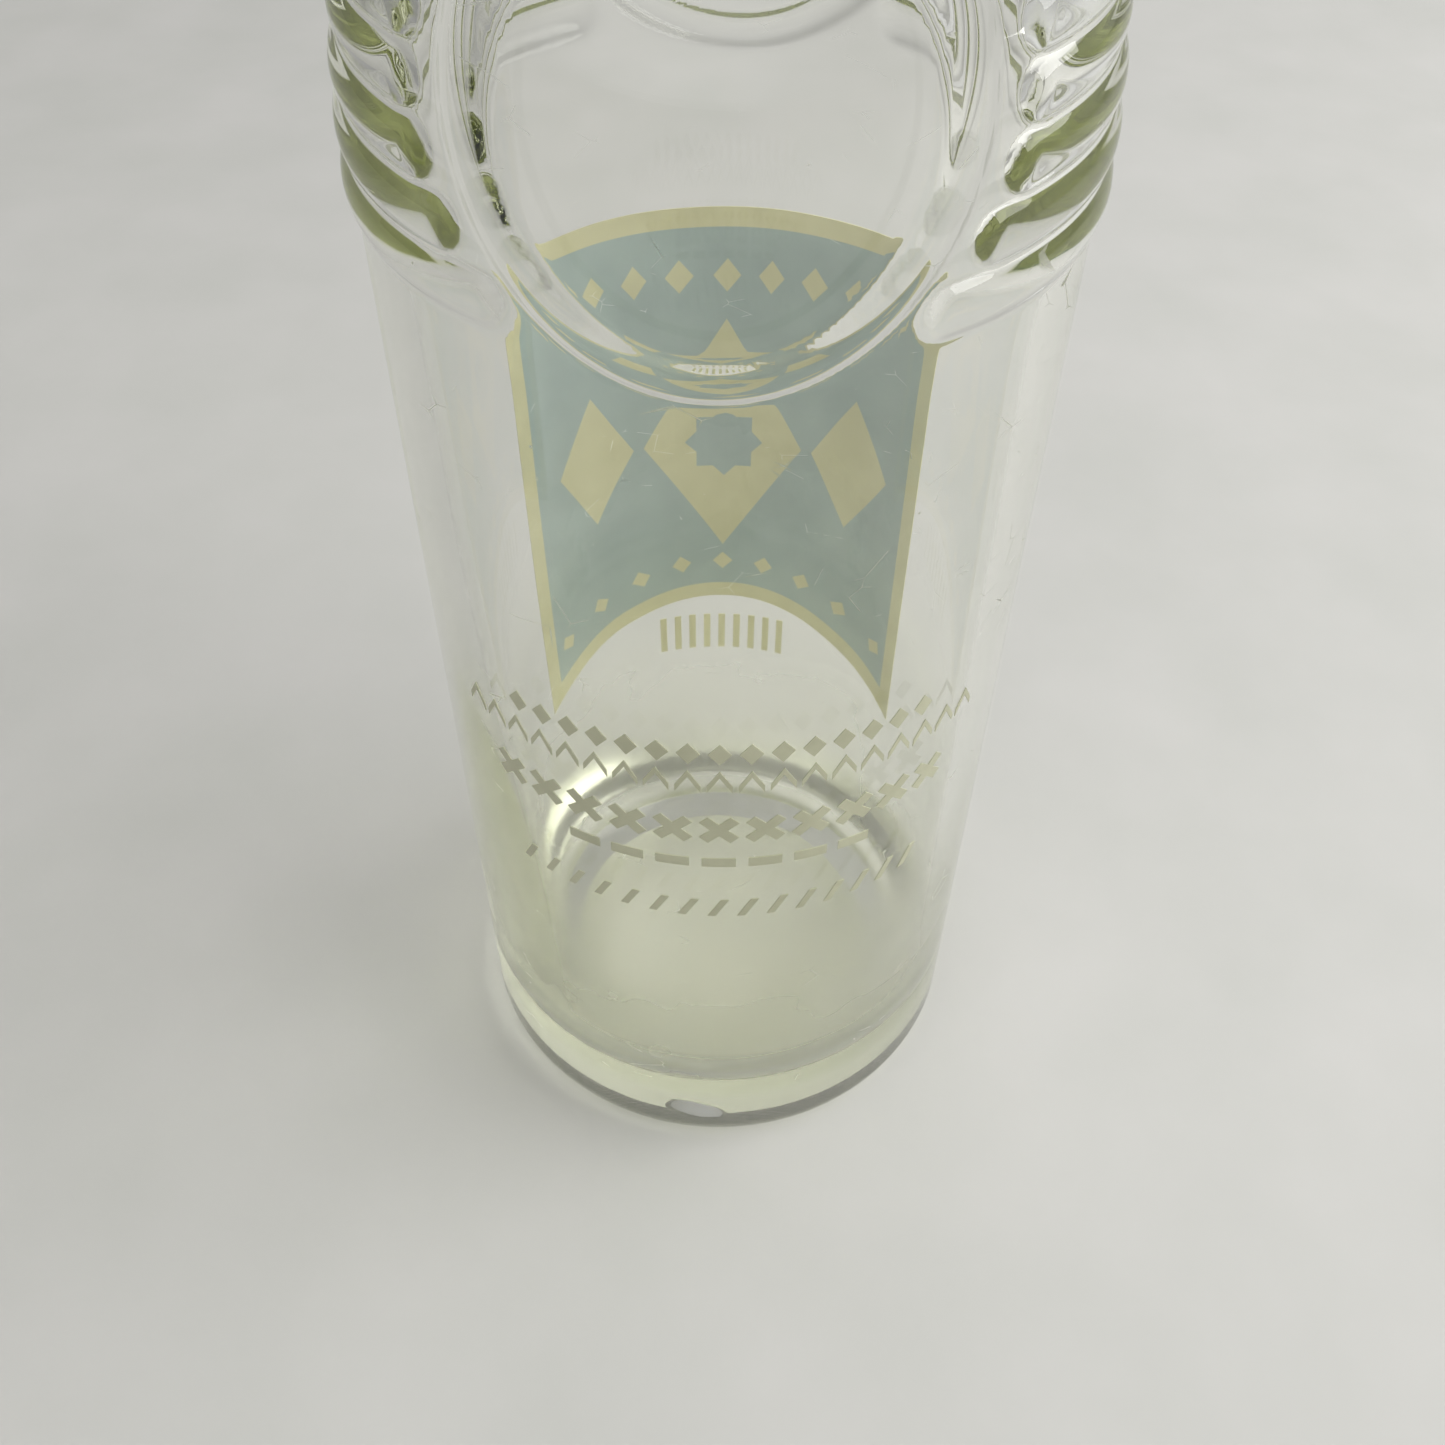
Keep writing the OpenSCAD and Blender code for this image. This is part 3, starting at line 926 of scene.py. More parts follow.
    def outside(self) -> list[Point]:
        """Points from the push-up's middle out over the heel and up to the lip.

        Returns:
            The points, closest where forms are raised or the heel turns.
        """
        straight_top = self.medallion_h - self.medallion_r - 1.5
        hoops_top = self.body_h + self.hoop_start + self.hoop_pitch * self.hoop_count
        rows = int((hoops_top - straight_top) / self.row_h)
        heights = [straight_top + (hoops_top - straight_top) * i / rows for i in range(rows + 1)]
        above = [p for p in self.shoulder_line(0, (24, 14)) if p[1] > hoops_top + self.row_h]
        return [
            *dome(self.bearing_r, self.punt_h, self.punt_h, 6),
            *arc(self.body_r - self.heel_r, self.heel_r, self.heel_r, -90, 0, 26),
            *line((self.body_r, self.heel_r + 0.4), (self.body_r, self.index_top), 17),
            *line((self.body_r, self.index_top + 0.5), (self.body_r, straight_top - self.row_h), 5),
            *[(self.shoulder_radius(z), z) for z in heights],
            *above,
            *self.finish_line(),
        ]

    def inside(self) -> list[Point]:
        """Points from the lip down the bore and the wall to the middle of the floor.

        Returns:
            The points, in an order that carries on from the outside's.
        """
        cavity_r = self.body_r - self.wall_t
        heel_x = cavity_r - self.cavity_heel_r
        heel_z = self.base_t + self.cavity_heel_r
        bore_foot = self.height - self.mouth_l
        floor = dome(heel_x, self.floor_rise, self.base_t + self.floor_rise, 5)
        shoulder = self.shoulder_line(-self.wall_t, (12, 10))
        return [
            *arc(
                self.mouth_r + self.lip_inner_r, self.height - self.lip_inner_r,
                self.lip_inner_r, 90, 180, 4,
            ),
            *line((self.mouth_r, self.height - 6), (self.mouth_r, bore_foot), 2),
            *reversed(shoulder),
            *line((cavity_r, self.body_h - 8), (cavity_r, heel_z + 6), 16),
            *arc(heel_x, heel_z, self.cavity_heel_r, 0, -90, 14),
            *reversed(floor[:-1]),
        ]

    def on_outside(self, place: Vector) -> bool:
        """True for a place on the outer skin, at any height up to the neck."""
        return math.hypot(place.x, place.y) > self.shoulder_radius(place.z) - self.wall_t / 2

    def crest(self, place: Vector) -> float:
        """Height of the hoops and the medallion ring.

        Args:
            place: A place on the skin, in millimetres.

        Returns:
            The height there in millimetres, 0 on the inner skin and below the shoulder.
        """
        if place.z < self.body_h - 8 or not self.on_outside(place):
            return 0.0
        place = Matrix.Rotation(-math.radians(self.mould_turn), 3, "Z") @ place
        off_ring = abs(
            math.hypot(place.x, place.z - self.medallion_h)
            - self.medallion_r + self.medallion_half_w
        )
        ring = cord_height(off_ring, self.medallion_relief, self.medallion_half_w)
        height = soft_crest(ring, self.fillet)
        number = round((place.z - self.body_h - self.hoop_start) / self.hoop_pitch)
        hoop_z = self.body_h + self.hoop_start + self.hoop_pitch * min(
            max(number, 0), self.hoop_count - 1
        )
        radius = self.shoulder_radius(hoop_z)
        reach = self.medallion_clear_r**2 - (hoop_z - self.medallion_h) ** 2
        end_x = math.sqrt(max(reach, 0)) + self.hoop_half_w
        turn = math.atan2(abs(place.x), abs(place.y))
        end_turn = math.asin(min(end_x / radius, 1))
        past = max(0.0, (end_turn - turn) * radius)
        hoop = cord_height(
            math.hypot(past, place.z - hoop_z), self.hoop_relief, self.hoop_half_w
        )
        return height + soft_crest(hoop, self.fillet)

    def inner_ripple(self, place: Vector) -> float:
        """Share of the ripple on the inner wall, which the mould never touched.

        Args:
            place: A place on the skin, in millimetres.

        Returns:
            The share, about a half on the whole, with the waves to either side of it.
        """
        foot = self.base_t + self.ripple_from
        if place.z < foot or place.z > self.neck_foot_h or self.on_outside(place):
            return 0.0
        fade = min(1.0, (place.z - foot) / self.ripple_fade_l)
        broad = noise.noise(Vector((place.x, place.y, place.z / 3)) / self.ripple_l)
        streak = noise.noise(Vector((place.x, place.y, place.z / 7)) / self.streak_l)
        settle = noise.noise(Vector((place.x / 3, place.y / 3, place.z)) / self.settle_l)
        low = max(0.0, 1 - (place.z - self.base_t) / self.settle_h)
        return fade * (0.5 + 0.25 * (broad + self.streak * streak) + 0.6 * low * settle)

    def slug_share(self, place: Vector) -> float:
        """Share of the slug, the thick streak of glass low on one side of the inner wall.

        Args:
            place: A place on the skin, in millimetres.

        Returns:
            The share, from 0 to 1.
        """
        foot = self.base_t + self.ripple_from
        if place.z < foot or place.z > 2 * self.settle_h or self.on_outside(place):
            return 0.0
        turn = math.atan2(place.x, -place.y) - math.radians(self.slug_turn)
        off = math.atan2(math.sin(turn), math.cos(turn)) / self.slug_spread
        up = (place.z - foot) / self.settle_h
        fade = math.exp(-(max(0.0, up - 0.25) ** 2) * self.slug_fade)
        return math.exp(-(off**2)) * min(1.0, up * 5) * fade

    def index_mark(self, place: Vector) -> float:
        """Share of the index mark's depth.

        Args:
            place: A place on the skin, in millimetres.

        Returns:
            The share, from 0 to 1, falling off steeply at the mark's edge.
        """
        if place.z > self.index_top or place.y > 0:
            return 0.0
        if math.hypot(place.x, place.y) < self.body_r - self.heel_r:
            return 0.0
        turn = math.atan2(place.x, -place.y) - math.radians(self.index_turn)
        across = turn * self.body_r
        up = place.z - self.index_h - self.index_tilt * across
        off = math.hypot(across / self.index_half_w, up / self.index_half_l)
        return max(0.0, 1 - off**2) ** 0.6

    def build(self) -> bpy.types.Object:
        """Spins the skin, raises the hoops and the medallion ring, and ripples the inner wall.

        Returns:
            The finished bottle.
        """
        piece = trace("bottle_glass", self.outside() + self.inside())
        spin_round(self.columns)
        top = self.medallion_relief * 1.05
        raise_by(piece, top, lambda place: self.crest(place) / top)
        raise_by(piece, self.ripple, self.inner_ripple)
        raise_by(piece, self.slug, self.slug_share)
        raise_by(piece, -self.index_depth, self.index_mark)
        smooth(piece)
        return piece


@dataclass
class EnamelPress:
    """How enamel is laid on the wall: drawn flat, sliced and bent round the bottle."""

    wall_r: float = 40
    # The ink's back stays a hair clear of the glass, so that the two skins never cut each other.
    seat: float = 0.01
    ink_t: float = 0.12
    overprint: float = 0.03
    slice_w: float = 1.4

    def along(self, across: float) -> float:
        """Length along the wall to a place that lies across from the middle, both in mm."""
        return self.wall_r * math.asin(across / self.wall_r)

    def turned(self, angle: float) -> float:
        """Length along the wall that an angle in degrees takes up."""
        return self.wall_r * math.radians(angle)

    def lay(self, name: str, outline: Sequence[Point], over: bool = False) -> bpy.types.Object:
        """Lays one flat area of ink.

        Args:
            name: Name of the piece.
            outline: Its corners, along the wall and up.
            over: True for the pass that is laid over another, which is thicker by a hair.

        Returns:
            The flat piece.
        """
        extra = self.overprint if over else 0
        return plate(name, outline, (-self.seat - self.ink_t - extra, -self.seat))

    def knock_out(self, piece: bpy.types.Object, shapes: Iterable[bpy.types.Object]) -> None:
        """Leaves places free in a flat piece, in the shape of other flat pieces.

        Args:
            piece: The piece to cut.
            shapes: The shapes, which stay as they are.
        """
        for shape in shapes:
            cutter = copy_of(shape, 0, (0, 0))
            # Stretched, and moved back, the copy reaches right through both faces.
            cutter.data.transform(
                Matrix.Translation((0, 0.5 * MM, 0)) @ Matrix.Diagonal((1, 12, 1, 1))
            )
            apply_modifier(piece, "BOOLEAN", operation="DIFFERENCE", object=cutter, solver="EXACT")
            bpy.data.objects.remove(cutter)

    def bend(self, piece: bpy.types.Object, at_back: bool = False) -> bpy.types.Object:
        """Bends a flat piece round the wall.

        Args:
            piece: The piece, drawn in the XZ plane with +X to the right seen from -Y.
            at_back: True for the back wall, drawn as it is seen through the bottle from the front.

        Returns:
            The same piece.
        """
        slice_across(piece, self.slice_w)
        across = [v.co.x for v in piece.data.vertices]
        apply_modifier(
            piece, "SIMPLE_DEFORM", deform_method="BEND", deform_axis="Z",
            angle=(max(across) - min(across)) / (self.wall_r * MM),
        )
        piece.data.transform(Matrix.Translation((0, -self.wall_r * MM, 0)))
        if at_back:
            piece.data.transform(Matrix.Diagonal((1, -1, 1, 1)))
        pick(piece)
        bpy.ops.object.mode_set(mode="EDIT")
        bpy.ops.mesh.select_all(action="SELECT")
        bpy.ops.mesh.normals_make_consistent(inside=False)
        bpy.ops.object.mode_set(mode="OBJECT")
        return piece


def diamond(w: float, l: float) -> list[Point]:
    """Corners of an upright diamond, w across and l from tip to tip."""
    return [(w / 2, 0), (0, l / 2), (-w / 2, 0), (0, -l / 2)]


def square(w: float, turn: float = 0) -> list[Point]:
    """Corners of a square.

    Args:
        w: Width.
        turn: Turn in degrees, anticlockwise.

    Returns:
        The four corners.
    """
    reach = w * math.sqrt(0.5)
    turns = [math.radians(turn + 45 + 90 * i) for i in range(4)]
    return [(reach * math.cos(a), reach * math.sin(a)) for a in turns]


def bar_outline(l: float, w: float, turn: float = 0) -> tuple[Point, ...]:
    """Corners of a straight bar.

    Args:
        l: Length across, before it is turned.
        w: Width.
        turn: Turn in degrees, anticlockwise.

    Returns:
        The four corners.
    """
    a = math.radians(turn)
    corners = ((-l / 2, -w / 2), (l / 2, -w / 2), (l / 2, w / 2), (-l / 2, w / 2))
    return tuple(
        (x * math.cos(a) - z * math.sin(a), x * math.sin(a) + z * math.cos(a)) for x, z in corners
    )


def spread(i: int, count: int) -> float:
    """Place of item i of count, from -1 for the first to 1 for the last."""
    return 2 * i / (count - 1) - 1


@dataclass
class BackPanel:
    """The large printed panel on the back wall, with an arch cut into its lower edge."""

    press: EnamelPress
    half_a: float = 55.5
    top_h: float = 123.5
    corner_h: float = 38
    arch_rise: float = 14
    border_w: float = 3
    corner_r: float = 0.8
    ticks_h: float = 43.5
    ticks_count: int = 9
    tick_w: float = 1.3
    tick_l: float = 8
    ticks_gap: float = 1.6
    frieze_count: int = 9
    frieze_diamond_w: float = 4.4
    frieze_diamond_l: float = 5.4
    frieze_gap: float = 4.9
    frieze_side_gap: float = 4.3
    lozenge_w: float = 28
    lozenge_top_gap: float = 4.3
    lozenge_foot_gap: float = 1.7
    star_w: float = 9.5
    small_lozenge_w: float = 15
    small_lozenge_gap: float = 1.8
    pip_count: int = 9
    pip_w: float = 2.6
    pip_gap: float = 5
    pip_side_gap: float = 3.2

    @property
    def arch_r(self) -> float:
        """Radius of the arch."""
        half_w = self.press.wall_r * math.sin(math.radians(self.half_a))
        return (half_w**2 + self.arch_rise**2) / (2 * self.arch_rise)

    @property
    def arch_h(self) -> float:
        """Height of the arch's centre."""
        return self.corner_h + self.arch_rise - self.arch_r

    @property
    def pip_arc_r(self) -> float:
        """Radius of the arc that the pips stand on."""
        return self.arch_r + self.border_w + self.pip_gap

    @property
    def frieze_h(self) -> float:
        """Height of the frieze's middle."""
        return self.top_h - self.border_w - self.frieze_gap - self.frieze_diamond_l / 2

    @property
    def lozenge_foot_h(self) -> float:
        """Height of the large lozenge's lower tip."""
        pip_reach = self.pip_w * math.sqrt(0.5)
        return self.arch_h + self.pip_arc_r + pip_reach + self.lozenge_foot_gap

    @property
    def lozenge_l(self) -> float:
        """Height of the large lozenge, from tip to tip."""
        top = self.frieze_h - self.frieze_diamond_l / 2 - self.lozenge_top_gap
        return top - self.lozenge_foot_h

    def outline(self, inset: float) -> list[Point]:
        """Outline of the panel, moved inwards by an inset, from the arch's left end round.

        Args:
            inset: How far each edge is moved inwards.

        Returns:
            The corners, along the wall and up.
        """
        side = self.press.turned(self.half_a) - inset
        arch_r = self.arch_r + inset
        end_x = self.press.wall_r * math.sin(side / self.press.wall_r)
        end_a = math.degrees(math.asin(end_x / arch_r))
        arch = [
            (self.press.along(x), z)
            for x, z in arc(0, self.arch_h, arch_r, 90 + end_a, 90 - end_a, 40)
        ]
        top = self.top_h - inset
        corner_r = max(self.corner_r - inset / 3, 0.2)
        right = arc(side - corner_r, top - corner_r, corner_r, 0, 90, 4)
        left = arc(corner_r - side, top - corner_r, corner_r, 90, 180, 4)
        return arch + right + left

    def lozenges(self) -> bpy.types.Object:
        """Lays the large lozenge with the star left out of it, and one small lozenge each side.

        Returns:
            The three lozenges as one flat piece.
        """
        middle = self.lozenge_foot_h + self.lozenge_l / 2
        large = self.press.lay("lozenge", diamond(self.lozenge_w, self.lozenge_l), over=True)
        star = [self.star_square(turn) for turn in (0, 45)]
        self.press.knock_out(large, star)
        for piece in star:
            bpy.data.objects.remove(piece)
        small_l = self.lozenge_l * 4 / 7
        across = (self.lozenge_w + self.small_lozenge_w) / 2 + self.small_lozenge_gap
        small = self.press.lay("small_lozenge", diamond(self.small_lozenge_w, small_l), over=True)
        pieces = [copy_of(large, 0, (0, middle))]
        pieces += [copy_of(small, 0, (side * across, middle)) for side in (-1, 1)]
        bpy.data.objects.remove(large)
        bpy.data.objects.remove(small)
        return join_pieces("panel_lozenges", pieces)

    def star_square(self, turn: float) -> bpy.types.Object:
        """Lays one of the two squares that make the star, thick enough to cut with."""
        return plate("star_square", square(self.star_w, turn), (-1, 1))

    def frieze(self) -> bpy.types.Object:
        """Lays the diamonds along the top.

        Returns:
            The diamonds as one flat piece.
        """
        reach = self.press.turned(self.half_a) - self.border_w
        reach -= self.frieze_side_gap + self.frieze_diamond_w / 2
        model = self.press.lay(
            "frieze_diamond", diamond(self.frieze_diamond_w, self.frieze_diamond_l), over=True
        )
        count = self.frieze_count
        pieces = [
            copy_of(model, 0, (reach * spread(i, count), self.frieze_h)) for i in range(count)
        ]
        bpy.data.objects.remove(model)
        return join_pieces("panel_frieze", pieces)

    def pips(self) -> bpy.types.Object:
        """Lays the square pips in an arc over the arch.

        Returns:
            The pips as one flat piece.
        """
        reach = self.press.turned(self.half_a) - self.border_w - self.pip_side_gap
        half_turn = math.asin(
            self.press.wall_r * math.sin(reach / self.press.wall_r) / self.pip_arc_r
        )
        model = self.press.lay("pip", square(self.pip_w, 45), over=True)
        pieces = []
        for i in range(self.pip_count):
            turn = half_turn * spread(i, self.pip_count)
            across = self.press.along(self.pip_arc_r * math.sin(turn))
            up = self.arch_h + self.pip_arc_r * math.cos(turn)
            pieces.append(copy_of(model, -math.degrees(turn), (across, up)))
        bpy.data.objects.remove(model)
        return join_pieces("panel_pips", pieces)

    def ticks(self) -> bpy.types.Object:
        """Lays the short row of upright ticks under the arch.

        Returns:
            The ticks as one flat piece.
        """
        model = self.press.lay("tick", bar_outline(self.tick_w, self.tick_l))
        pitch = self.tick_w + self.ticks_gap
        pieces = [
            copy_of(model, 0, (pitch * (i - (self.ticks_count - 1) / 2), self.ticks_h))
            for i in range(self.ticks_count)
        ]
        bpy.data.objects.remove(model)
        return join_pieces("panel_ticks", pieces)

    def build(self, cream: bpy.types.Material, blue: bpy.types.Material) -> None:
        """Lays every part of the panel, bends it round the back and places it.

        Args:
            cream: Finish of the border, the motifs and the ticks.
            blue: Finish of the field.
        """
        border = self.press.lay("panel_border", self.outline(0), over=True)
        cutter = plate("cutter", self.outline(self.border_w), (-1, 1))
        self.press.knock_out(border, [cutter])
        bpy.data.objects.remove(cutter)
        motifs = [self.lozenges(), self.frieze(), self.pips()]
        field = self.press.lay("panel_field", self.outline(self.border_w))
        self.press.knock_out(field, motifs)
        names = ("back_panel_lozenges", "back_panel_frieze", "back_panel_pips")
        pieces = (*motifs, border, self.ticks())
        for piece, node in zip(pieces, (*names, "back_panel_border", "back_strip")):
            place_piece(
                self.press.bend(piece, at_back=True), Body.BOTTLE, cream, node
            )
        place_piece(
            self.press.bend(field, at_back=True), Body.BOTTLE, blue, "back_panel_field"
        )


@dataclass
class MarkRow:
    """One row of small marks round the front: the drawing of a mark, and how it is repeated."""

    name: str
    node: str
    height: float
    count: int
    pitch: float
    outlines: tuple[tuple[Point, ...], ...]

    def build(self, press: EnamelPress, cream: bpy.types.Material) -> None:
        """Lays one mark, repeats it, bends the row round the front and places it.

        Args:
            press: Lays and bends the ink.
            cream: Finish of the marks.
        """
        models = [press.lay("mark", outline) for outline in self.outlines]
        if len(models) > 1:
            apply_modifier(
                models[0], "BOOLEAN", operation="UNION", object=models[1], solver="EXACT"
            )
            bpy.data.objects.remove(models[1])
        first = -self.pitch * (self.count - 1) / 2
        places = [(first + self.pitch * i, self.height) for i in range(self.count)]
        row = join_pieces(self.name, [copy_of(models[0], 0, place) for place in places])
        bpy.data.objects.remove(models[0])
        place_piece(press.bend(row), Body.BOTTLE, cream, self.node)


def front_rows() -> list[MarkRow]:
    """Draws the five rows of marks, from the top down.

    Returns:
        The rows, each ready to build.
    """
    chevron = (
        (-1.6, -2.0), (0.0, 0.8), (1.6, -2.0), (1.6, -0.8), (0.0, 2.0), (-1.6, -0.8),
    )
    stroke = ((-1.44, -1.8), (-0.36, -1.8), (1.44, 1.8), (0.36, 1.8))
    return [
        MarkRow("row_diamonds", "front_row_diamonds", 96.2, 15, 3.78, (tuple(diamond(2.88, 3.6)),)),
        MarkRow("row_chevrons", "front_row_chevrons", 91.2, 19, 3.9, (chevron,)),
        MarkRow("row_crosses", "front_row_crosses", 81.966, 11, 5.868, (
            bar_outline(5.6, 1.568, 45), bar_outline(5.6, 1.568, 135),
        )),
        MarkRow("row_bars", "front_row_bars", 75.35, 7, 6.0, (bar_outline(4.4, 1.76),)),
        MarkRow("row_strokes", "front_row_strokes", 65.37, 15, 3.98, (stroke,)),
    ]


@dataclass
class CrownCap:
    """The crown: a drawn and fluted shell of tinplate, and the liner moulded into it."""

    foot_h: float = 286.437
    height: float = 6
    face_r: float = 11.65
    corner_r: float = 2
    skirt_r: float = 13.65
    flute_r: float = 14.4
    flutes: int = 21
    # The flutes start at this share of the corner's round, deepen down the skirt by this power,
    # and between them the skirt still flares by this share.
    flute_start: float = 0.6
    flute_power: float = 1.3
    flute_even: float = 0.12
    flute_sharpness: float = 0.8
    sheet_t: float = 0.25
    columns_per_flute: int = 12
    liner_t: float = 1
    liner_edge_t: float = 0.35
    liner_r: float = 12.96
    liner_bead: float = 0.25

    @property
    def top_h(self) -> float:
        """Height of the shell's face."""
        return self.foot_h + self.height

    def flare(self, place: Vector) -> float:
        """Share of the flutes' full height.

        Args:
            place: A place on the shell, in millimetres.

        Returns:
            The share, which grows down the skirt and swings from flute to flute.
        """
        start = self.corner_r * self.flute_start
        down = (self.top_h - start - place.z) / (self.height - start)
        if down <= 0 or math.hypot(place.x, place.y) < self.face_r:
            return 0.0
        wave = 0.5 + 0.5 * math.cos(self.flutes * math.atan2(place.y, place.x))
        swing = (1 - self.flute_even) * wave**self.flute_sharpness
        return down**self.flute_power * (self.flute_even + swing)

    def shell(self) -> bpy.types.Object:
        """Draws the shell's skin, flutes its skirt and gives it the sheet's thickness.

        Returns:
            The finished shell.
        """
        corner_h = self.top_h - self.corner_r
        outline = [
            *line((0, self.top_h), (self.face_r - 1.2, self.top_h), 5),
            *arc(self.face_r, corner_h, self.corner_r, 90, 0, 7),
            *line((self.skirt_r, corner_h - 0.5), (self.skirt_r, self.foot_h), 9),
        ]
        piece = trace("crown_tinplate", outline)
        spin_round(self.flutes * self.columns_per_flute)
        raise_by(piece, self.flute_r - self.skirt_r, self.flare)
        apply_modifier(
            piece, "SOLIDIFY", thickness=self.sheet_t * MM, offset=-1, use_even_offset=True,
        )
        smooth(piece, 50)
        return piece

    def liner(self) -> bpy.types.Object:
        """Spins the liner, with the bead that seals on the lip.

        Returns:
            The finished liner.
        """
        low = self.top_h - self.sheet_t - self.liner_t
        high = low + self.liner_t
        inner_r = self.face_r - 0.05
        # From the middle of the lower face out over the bead's hollow to the rim, and back on top.
        outline = [
            (0, low + self.liner_bead), (6.8, low + self.liner_bead), (7.4, low + 0.05),
            (8.2, low), (self.liner_r - 0.3, low), (self.liner_r, low + 0.1),
            (self.liner_r, low + self.liner_edge_t), (inner_r, high - 0.06),
            (inner_r - 0.3, high), (0, high),
        ]
        piece = trace("crown_seal", outline)
        spin_round(96)
        smooth(piece, 40)
        return piece

    def build(self) -> None:
        """Builds and places both pieces."""
        place_piece(
            self.shell(), Body.CROWN, LacqueredTinplate().make(), "crown_shell"
        )
        place_piece(self.liner(), Body.CROWN, LinerCompound().make(), "crown_liner")


# ---------------------------------------------------------------------------------------------
# Studio
# ---------------------------------------------------------------------------------------------


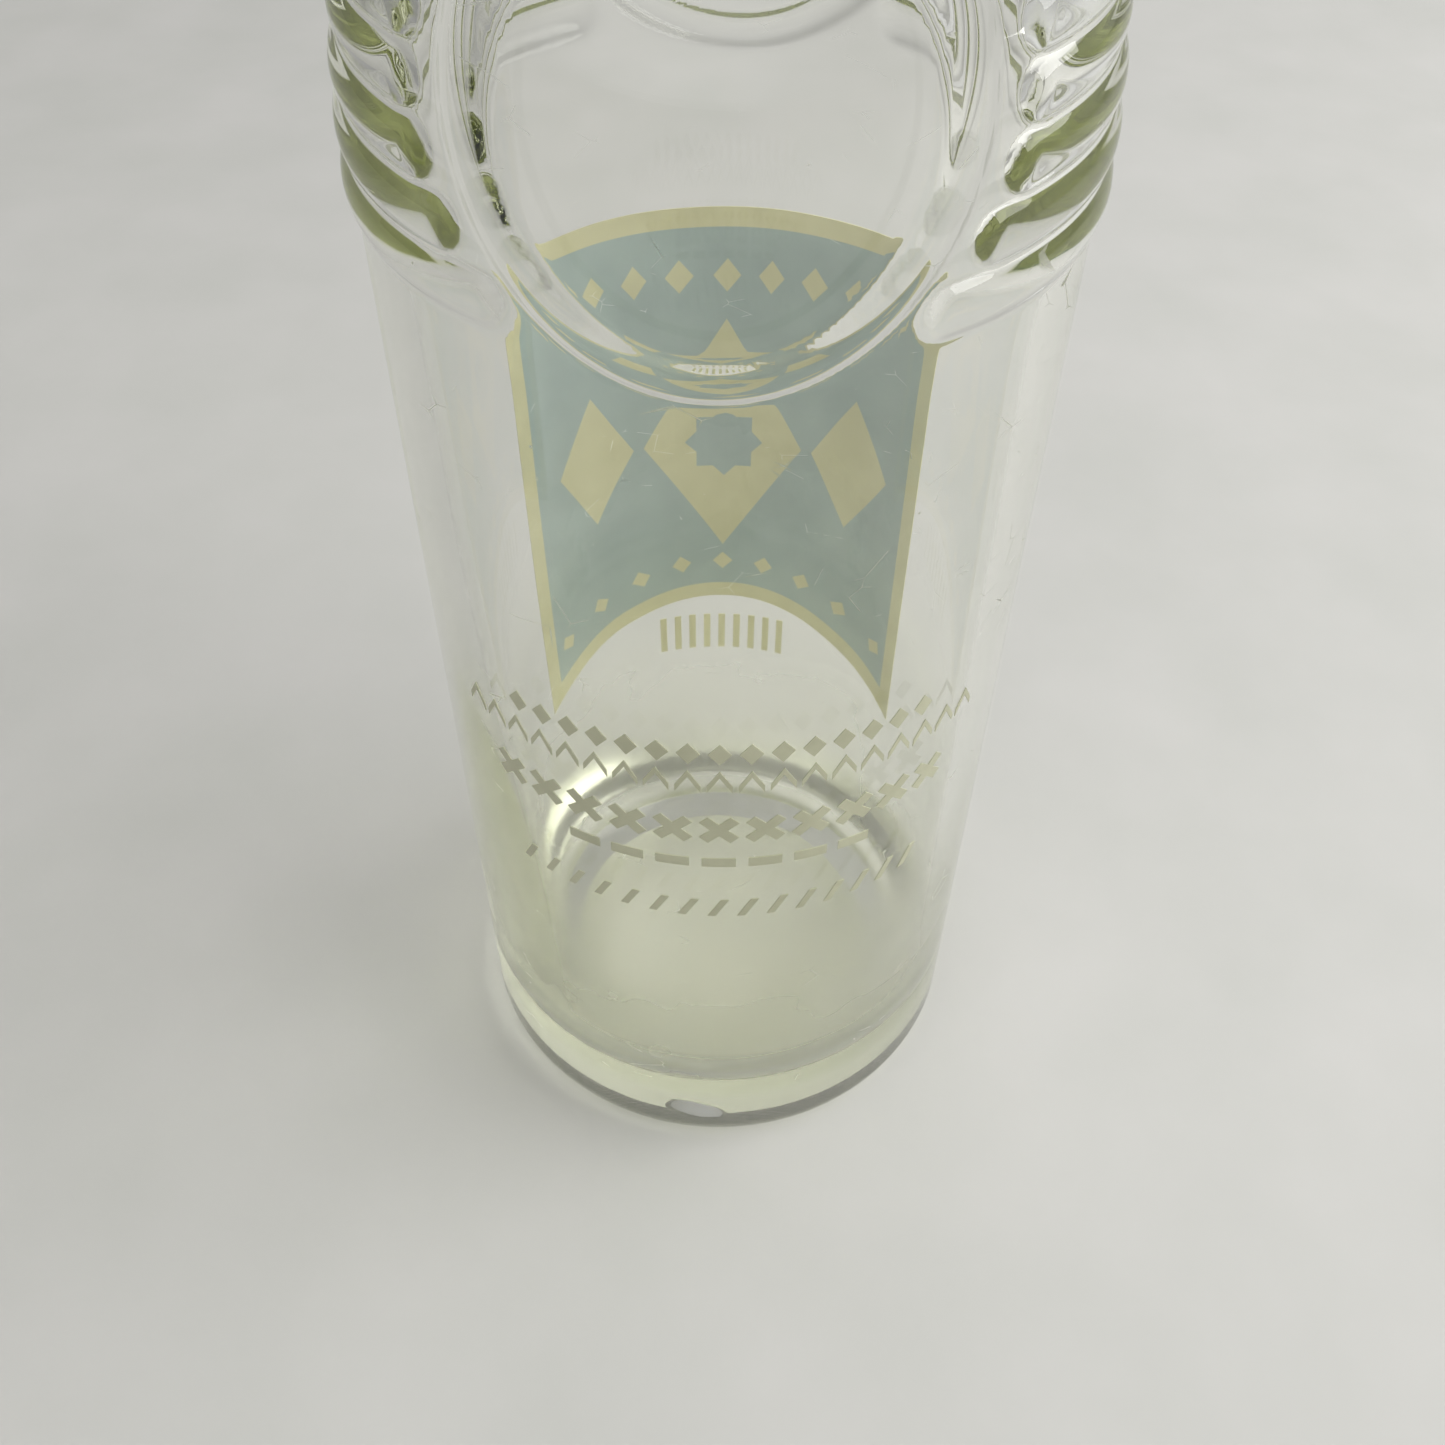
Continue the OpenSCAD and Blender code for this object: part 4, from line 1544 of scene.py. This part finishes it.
@dataclass
class Studio:
    """The floor, the light and the camera."""

    camera_at: tuple[float, float, float] = (0.0, -151.9, 223.9)
    look_down: float = 47.49
    turn_right: float = 0.125
    tilt: float = 0.76
    sensor_w: float = 36
    lens: float = 36
    floor_w: float = 6000
    # The room's brightness at the sine of the height above the horizon.
    room_levels: tuple[Point, ...] = (
        (0.0, 0.42), (0.16, 0.39), (0.3, 0.31), (0.52, 0.31), (0.72, 0.40),
    )
    window_from: tuple[float, float, float] = (0.9, 0.35, 0)
    window_side: float = 1.2
    far_side: float = 0.6
    # Soft patches of light on the room: where each lies, and how much brighter it is.
    glows: tuple[tuple[tuple[float, float, float], float], ...] = (
        ((-0.25, -0.8, 0.55), 0.62), ((0.35, 0.6, 0.73), 0.5),
    )
    # Cosines of the angles from a patch's middle at which it starts and is at its full strength.
    glow_edges: tuple[float, float] = (0.5, 0.95)
    lamp_at: tuple[float, float, float] = (850, -60, 750)
    lamp_w: float = 1000
    lamp_power: float = 10.8
    # Light crosses the glass many times on its way through the walls and the thick base.
    bounces: int = 64

    def set_camera(self) -> None:
        """Places the camera, looking down over the shoulder."""
        data = bpy.data.cameras.new("camera")
        data.sensor_width = self.sensor_w
        data.lens = self.lens
        data.clip_start = 0.005
        camera = bpy.data.objects.new("camera", data)
        bpy.context.scene.collection.objects.link(camera)
        aim = (
            Matrix.Rotation(-math.radians(self.turn_right), 4, "Z")
            @ Matrix.Rotation(math.radians(90 - self.look_down), 4, "X")
            @ Matrix.Rotation(math.radians(self.tilt), 4, "Z")
        )
        camera.matrix_world = Matrix.Translation([c * MM for c in self.camera_at]) @ aim
        bpy.context.scene.camera = camera

    def lay_floor(self) -> None:
        """Lays the paper that the bottle stands on."""
        clear_selection()
        bpy.ops.mesh.primitive_plane_add(size=self.floor_w * MM)
        floor = bpy.context.active_object
        floor.name = "floor"
        floor.data.materials.append(PalePaper().make())

    def light_world(self) -> None:
        """Lights the room from all round, most from the window's side and from two soft patches."""
        world = bpy.data.worlds.new("studio")
        bpy.context.scene.world = world
        world.use_nodes = True
        tree = world.node_tree
        tree.nodes.clear()
        way = add_node(tree, "ShaderNodeTexCoord").outputs["Generated"]
        parts = add_node(tree, "ShaderNodeSeparateXYZ", {0: way})
        room = add_node(tree, "ShaderNodeValToRGB", {"Fac": parts.outputs["Z"]})
        ramp = room.color_ramp
        for position, level in self.room_levels:
            stop = ramp.elements.new(position)
            stop.color = (level, level, level, 1)
        ramp.elements.remove(ramp.elements[-1])
        ramp.elements.remove(ramp.elements[0])
        side = add_node(tree, "ShaderNodeVectorMath", {
            0: way, 1: Vector(self.window_from).normalized(),
        }, operation="DOT_PRODUCT")
        window = add_node(tree, "ShaderNodeMapRange", {
            "Value": side.outputs["Value"], "From Min": -1.0, "From Max": 1.0,
            "To Min": self.far_side, "To Max": self.window_side,
        })
        total = add_node(tree, "ShaderNodeVectorMath", {
            0: room.outputs["Color"], "Scale": window.outputs["Result"],
        }, operation="SCALE")
        for glow_from, glow_level in self.glows:
            ahead = add_node(tree, "ShaderNodeVectorMath", {
                0: way, 1: Vector(glow_from).normalized(),
            }, operation="DOT_PRODUCT")
            glow = add_node(tree, "ShaderNodeMapRange", {
                "Value": ahead.outputs["Value"], "From Min": self.glow_edges[0],
                "From Max": self.glow_edges[1],
                "To Min": 0.0, "To Max": glow_level,
            }, interpolation_type="SMOOTHSTEP")
            total = add_node(tree, "ShaderNodeVectorMath", {
                0: total.outputs["Vector"], 1: glow.outputs["Result"],
            }, operation="ADD")
        sky = add_node(tree, "ShaderNodeBackground", {"Color": total.outputs["Vector"]})
        add_node(tree, "ShaderNodeOutputWorld", {"Surface": sky.outputs["Background"]})

    def hang_lamp(self) -> None:
        """Hangs the one soft lamp, up on the right."""
        data = bpy.data.lights.new("soft_lamp", "AREA")
        data.shape = "SQUARE"
        data.size = self.lamp_w * MM
        data.energy = self.lamp_power
        lamp = bpy.data.objects.new("soft_lamp", data)
        bpy.context.scene.collection.objects.link(lamp)
        at = Vector(self.lamp_at) * MM
        lamp.matrix_world = Matrix.Translation(at) @ at.to_track_quat("Z", "Y").to_matrix().to_4x4()

    def build(self) -> None:
        """Sets up the whole studio."""
        self.set_camera()
        self.lay_floor()
        self.light_world()
        self.hang_lamp()
        scene = bpy.context.scene
        scene.view_settings.view_transform = "Standard"
        scene.cycles.max_bounces = self.bounces
        scene.cycles.transmission_bounces = self.bounces
        scene.cycles.glossy_bounces = self.bounces
        scene.cycles.sample_clamp_indirect = 0
        scene.cycles.blur_glossy = 0


def main() -> None:
    """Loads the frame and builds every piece."""
    logging.basicConfig(level=logging.INFO, format="%(name)s: %(message)s")
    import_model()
    Studio().build()
    bottle = GlassBottle()
    place_piece(bottle.build(), Body.BOTTLE, FlintGlass().make(), "glass_bottle")
    press = EnamelPress()
    cream = FiredEnamel("cream_enamel", "#d6d2aa", "#ccc89e").make()
    # The front marks take a darker copy of the same cream ink. This is partly worn, thin ink and partly
    # painted shade standing in for the unlit front of the marks.
    shaded_worn_cream = FiredEnamel("shaded_worn_cream_enamel", "#b9b99e", "#adad92").make()
    blue = FiredEnamel("blue_enamel", "#a6b7b4", "#9cadab").make()
    BackPanel(press).build(cream, blue)
    for row in front_rows():
        row.build(press, shaded_worn_cream)
    CrownCap().build()


if __name__ == "__main__":
    main()
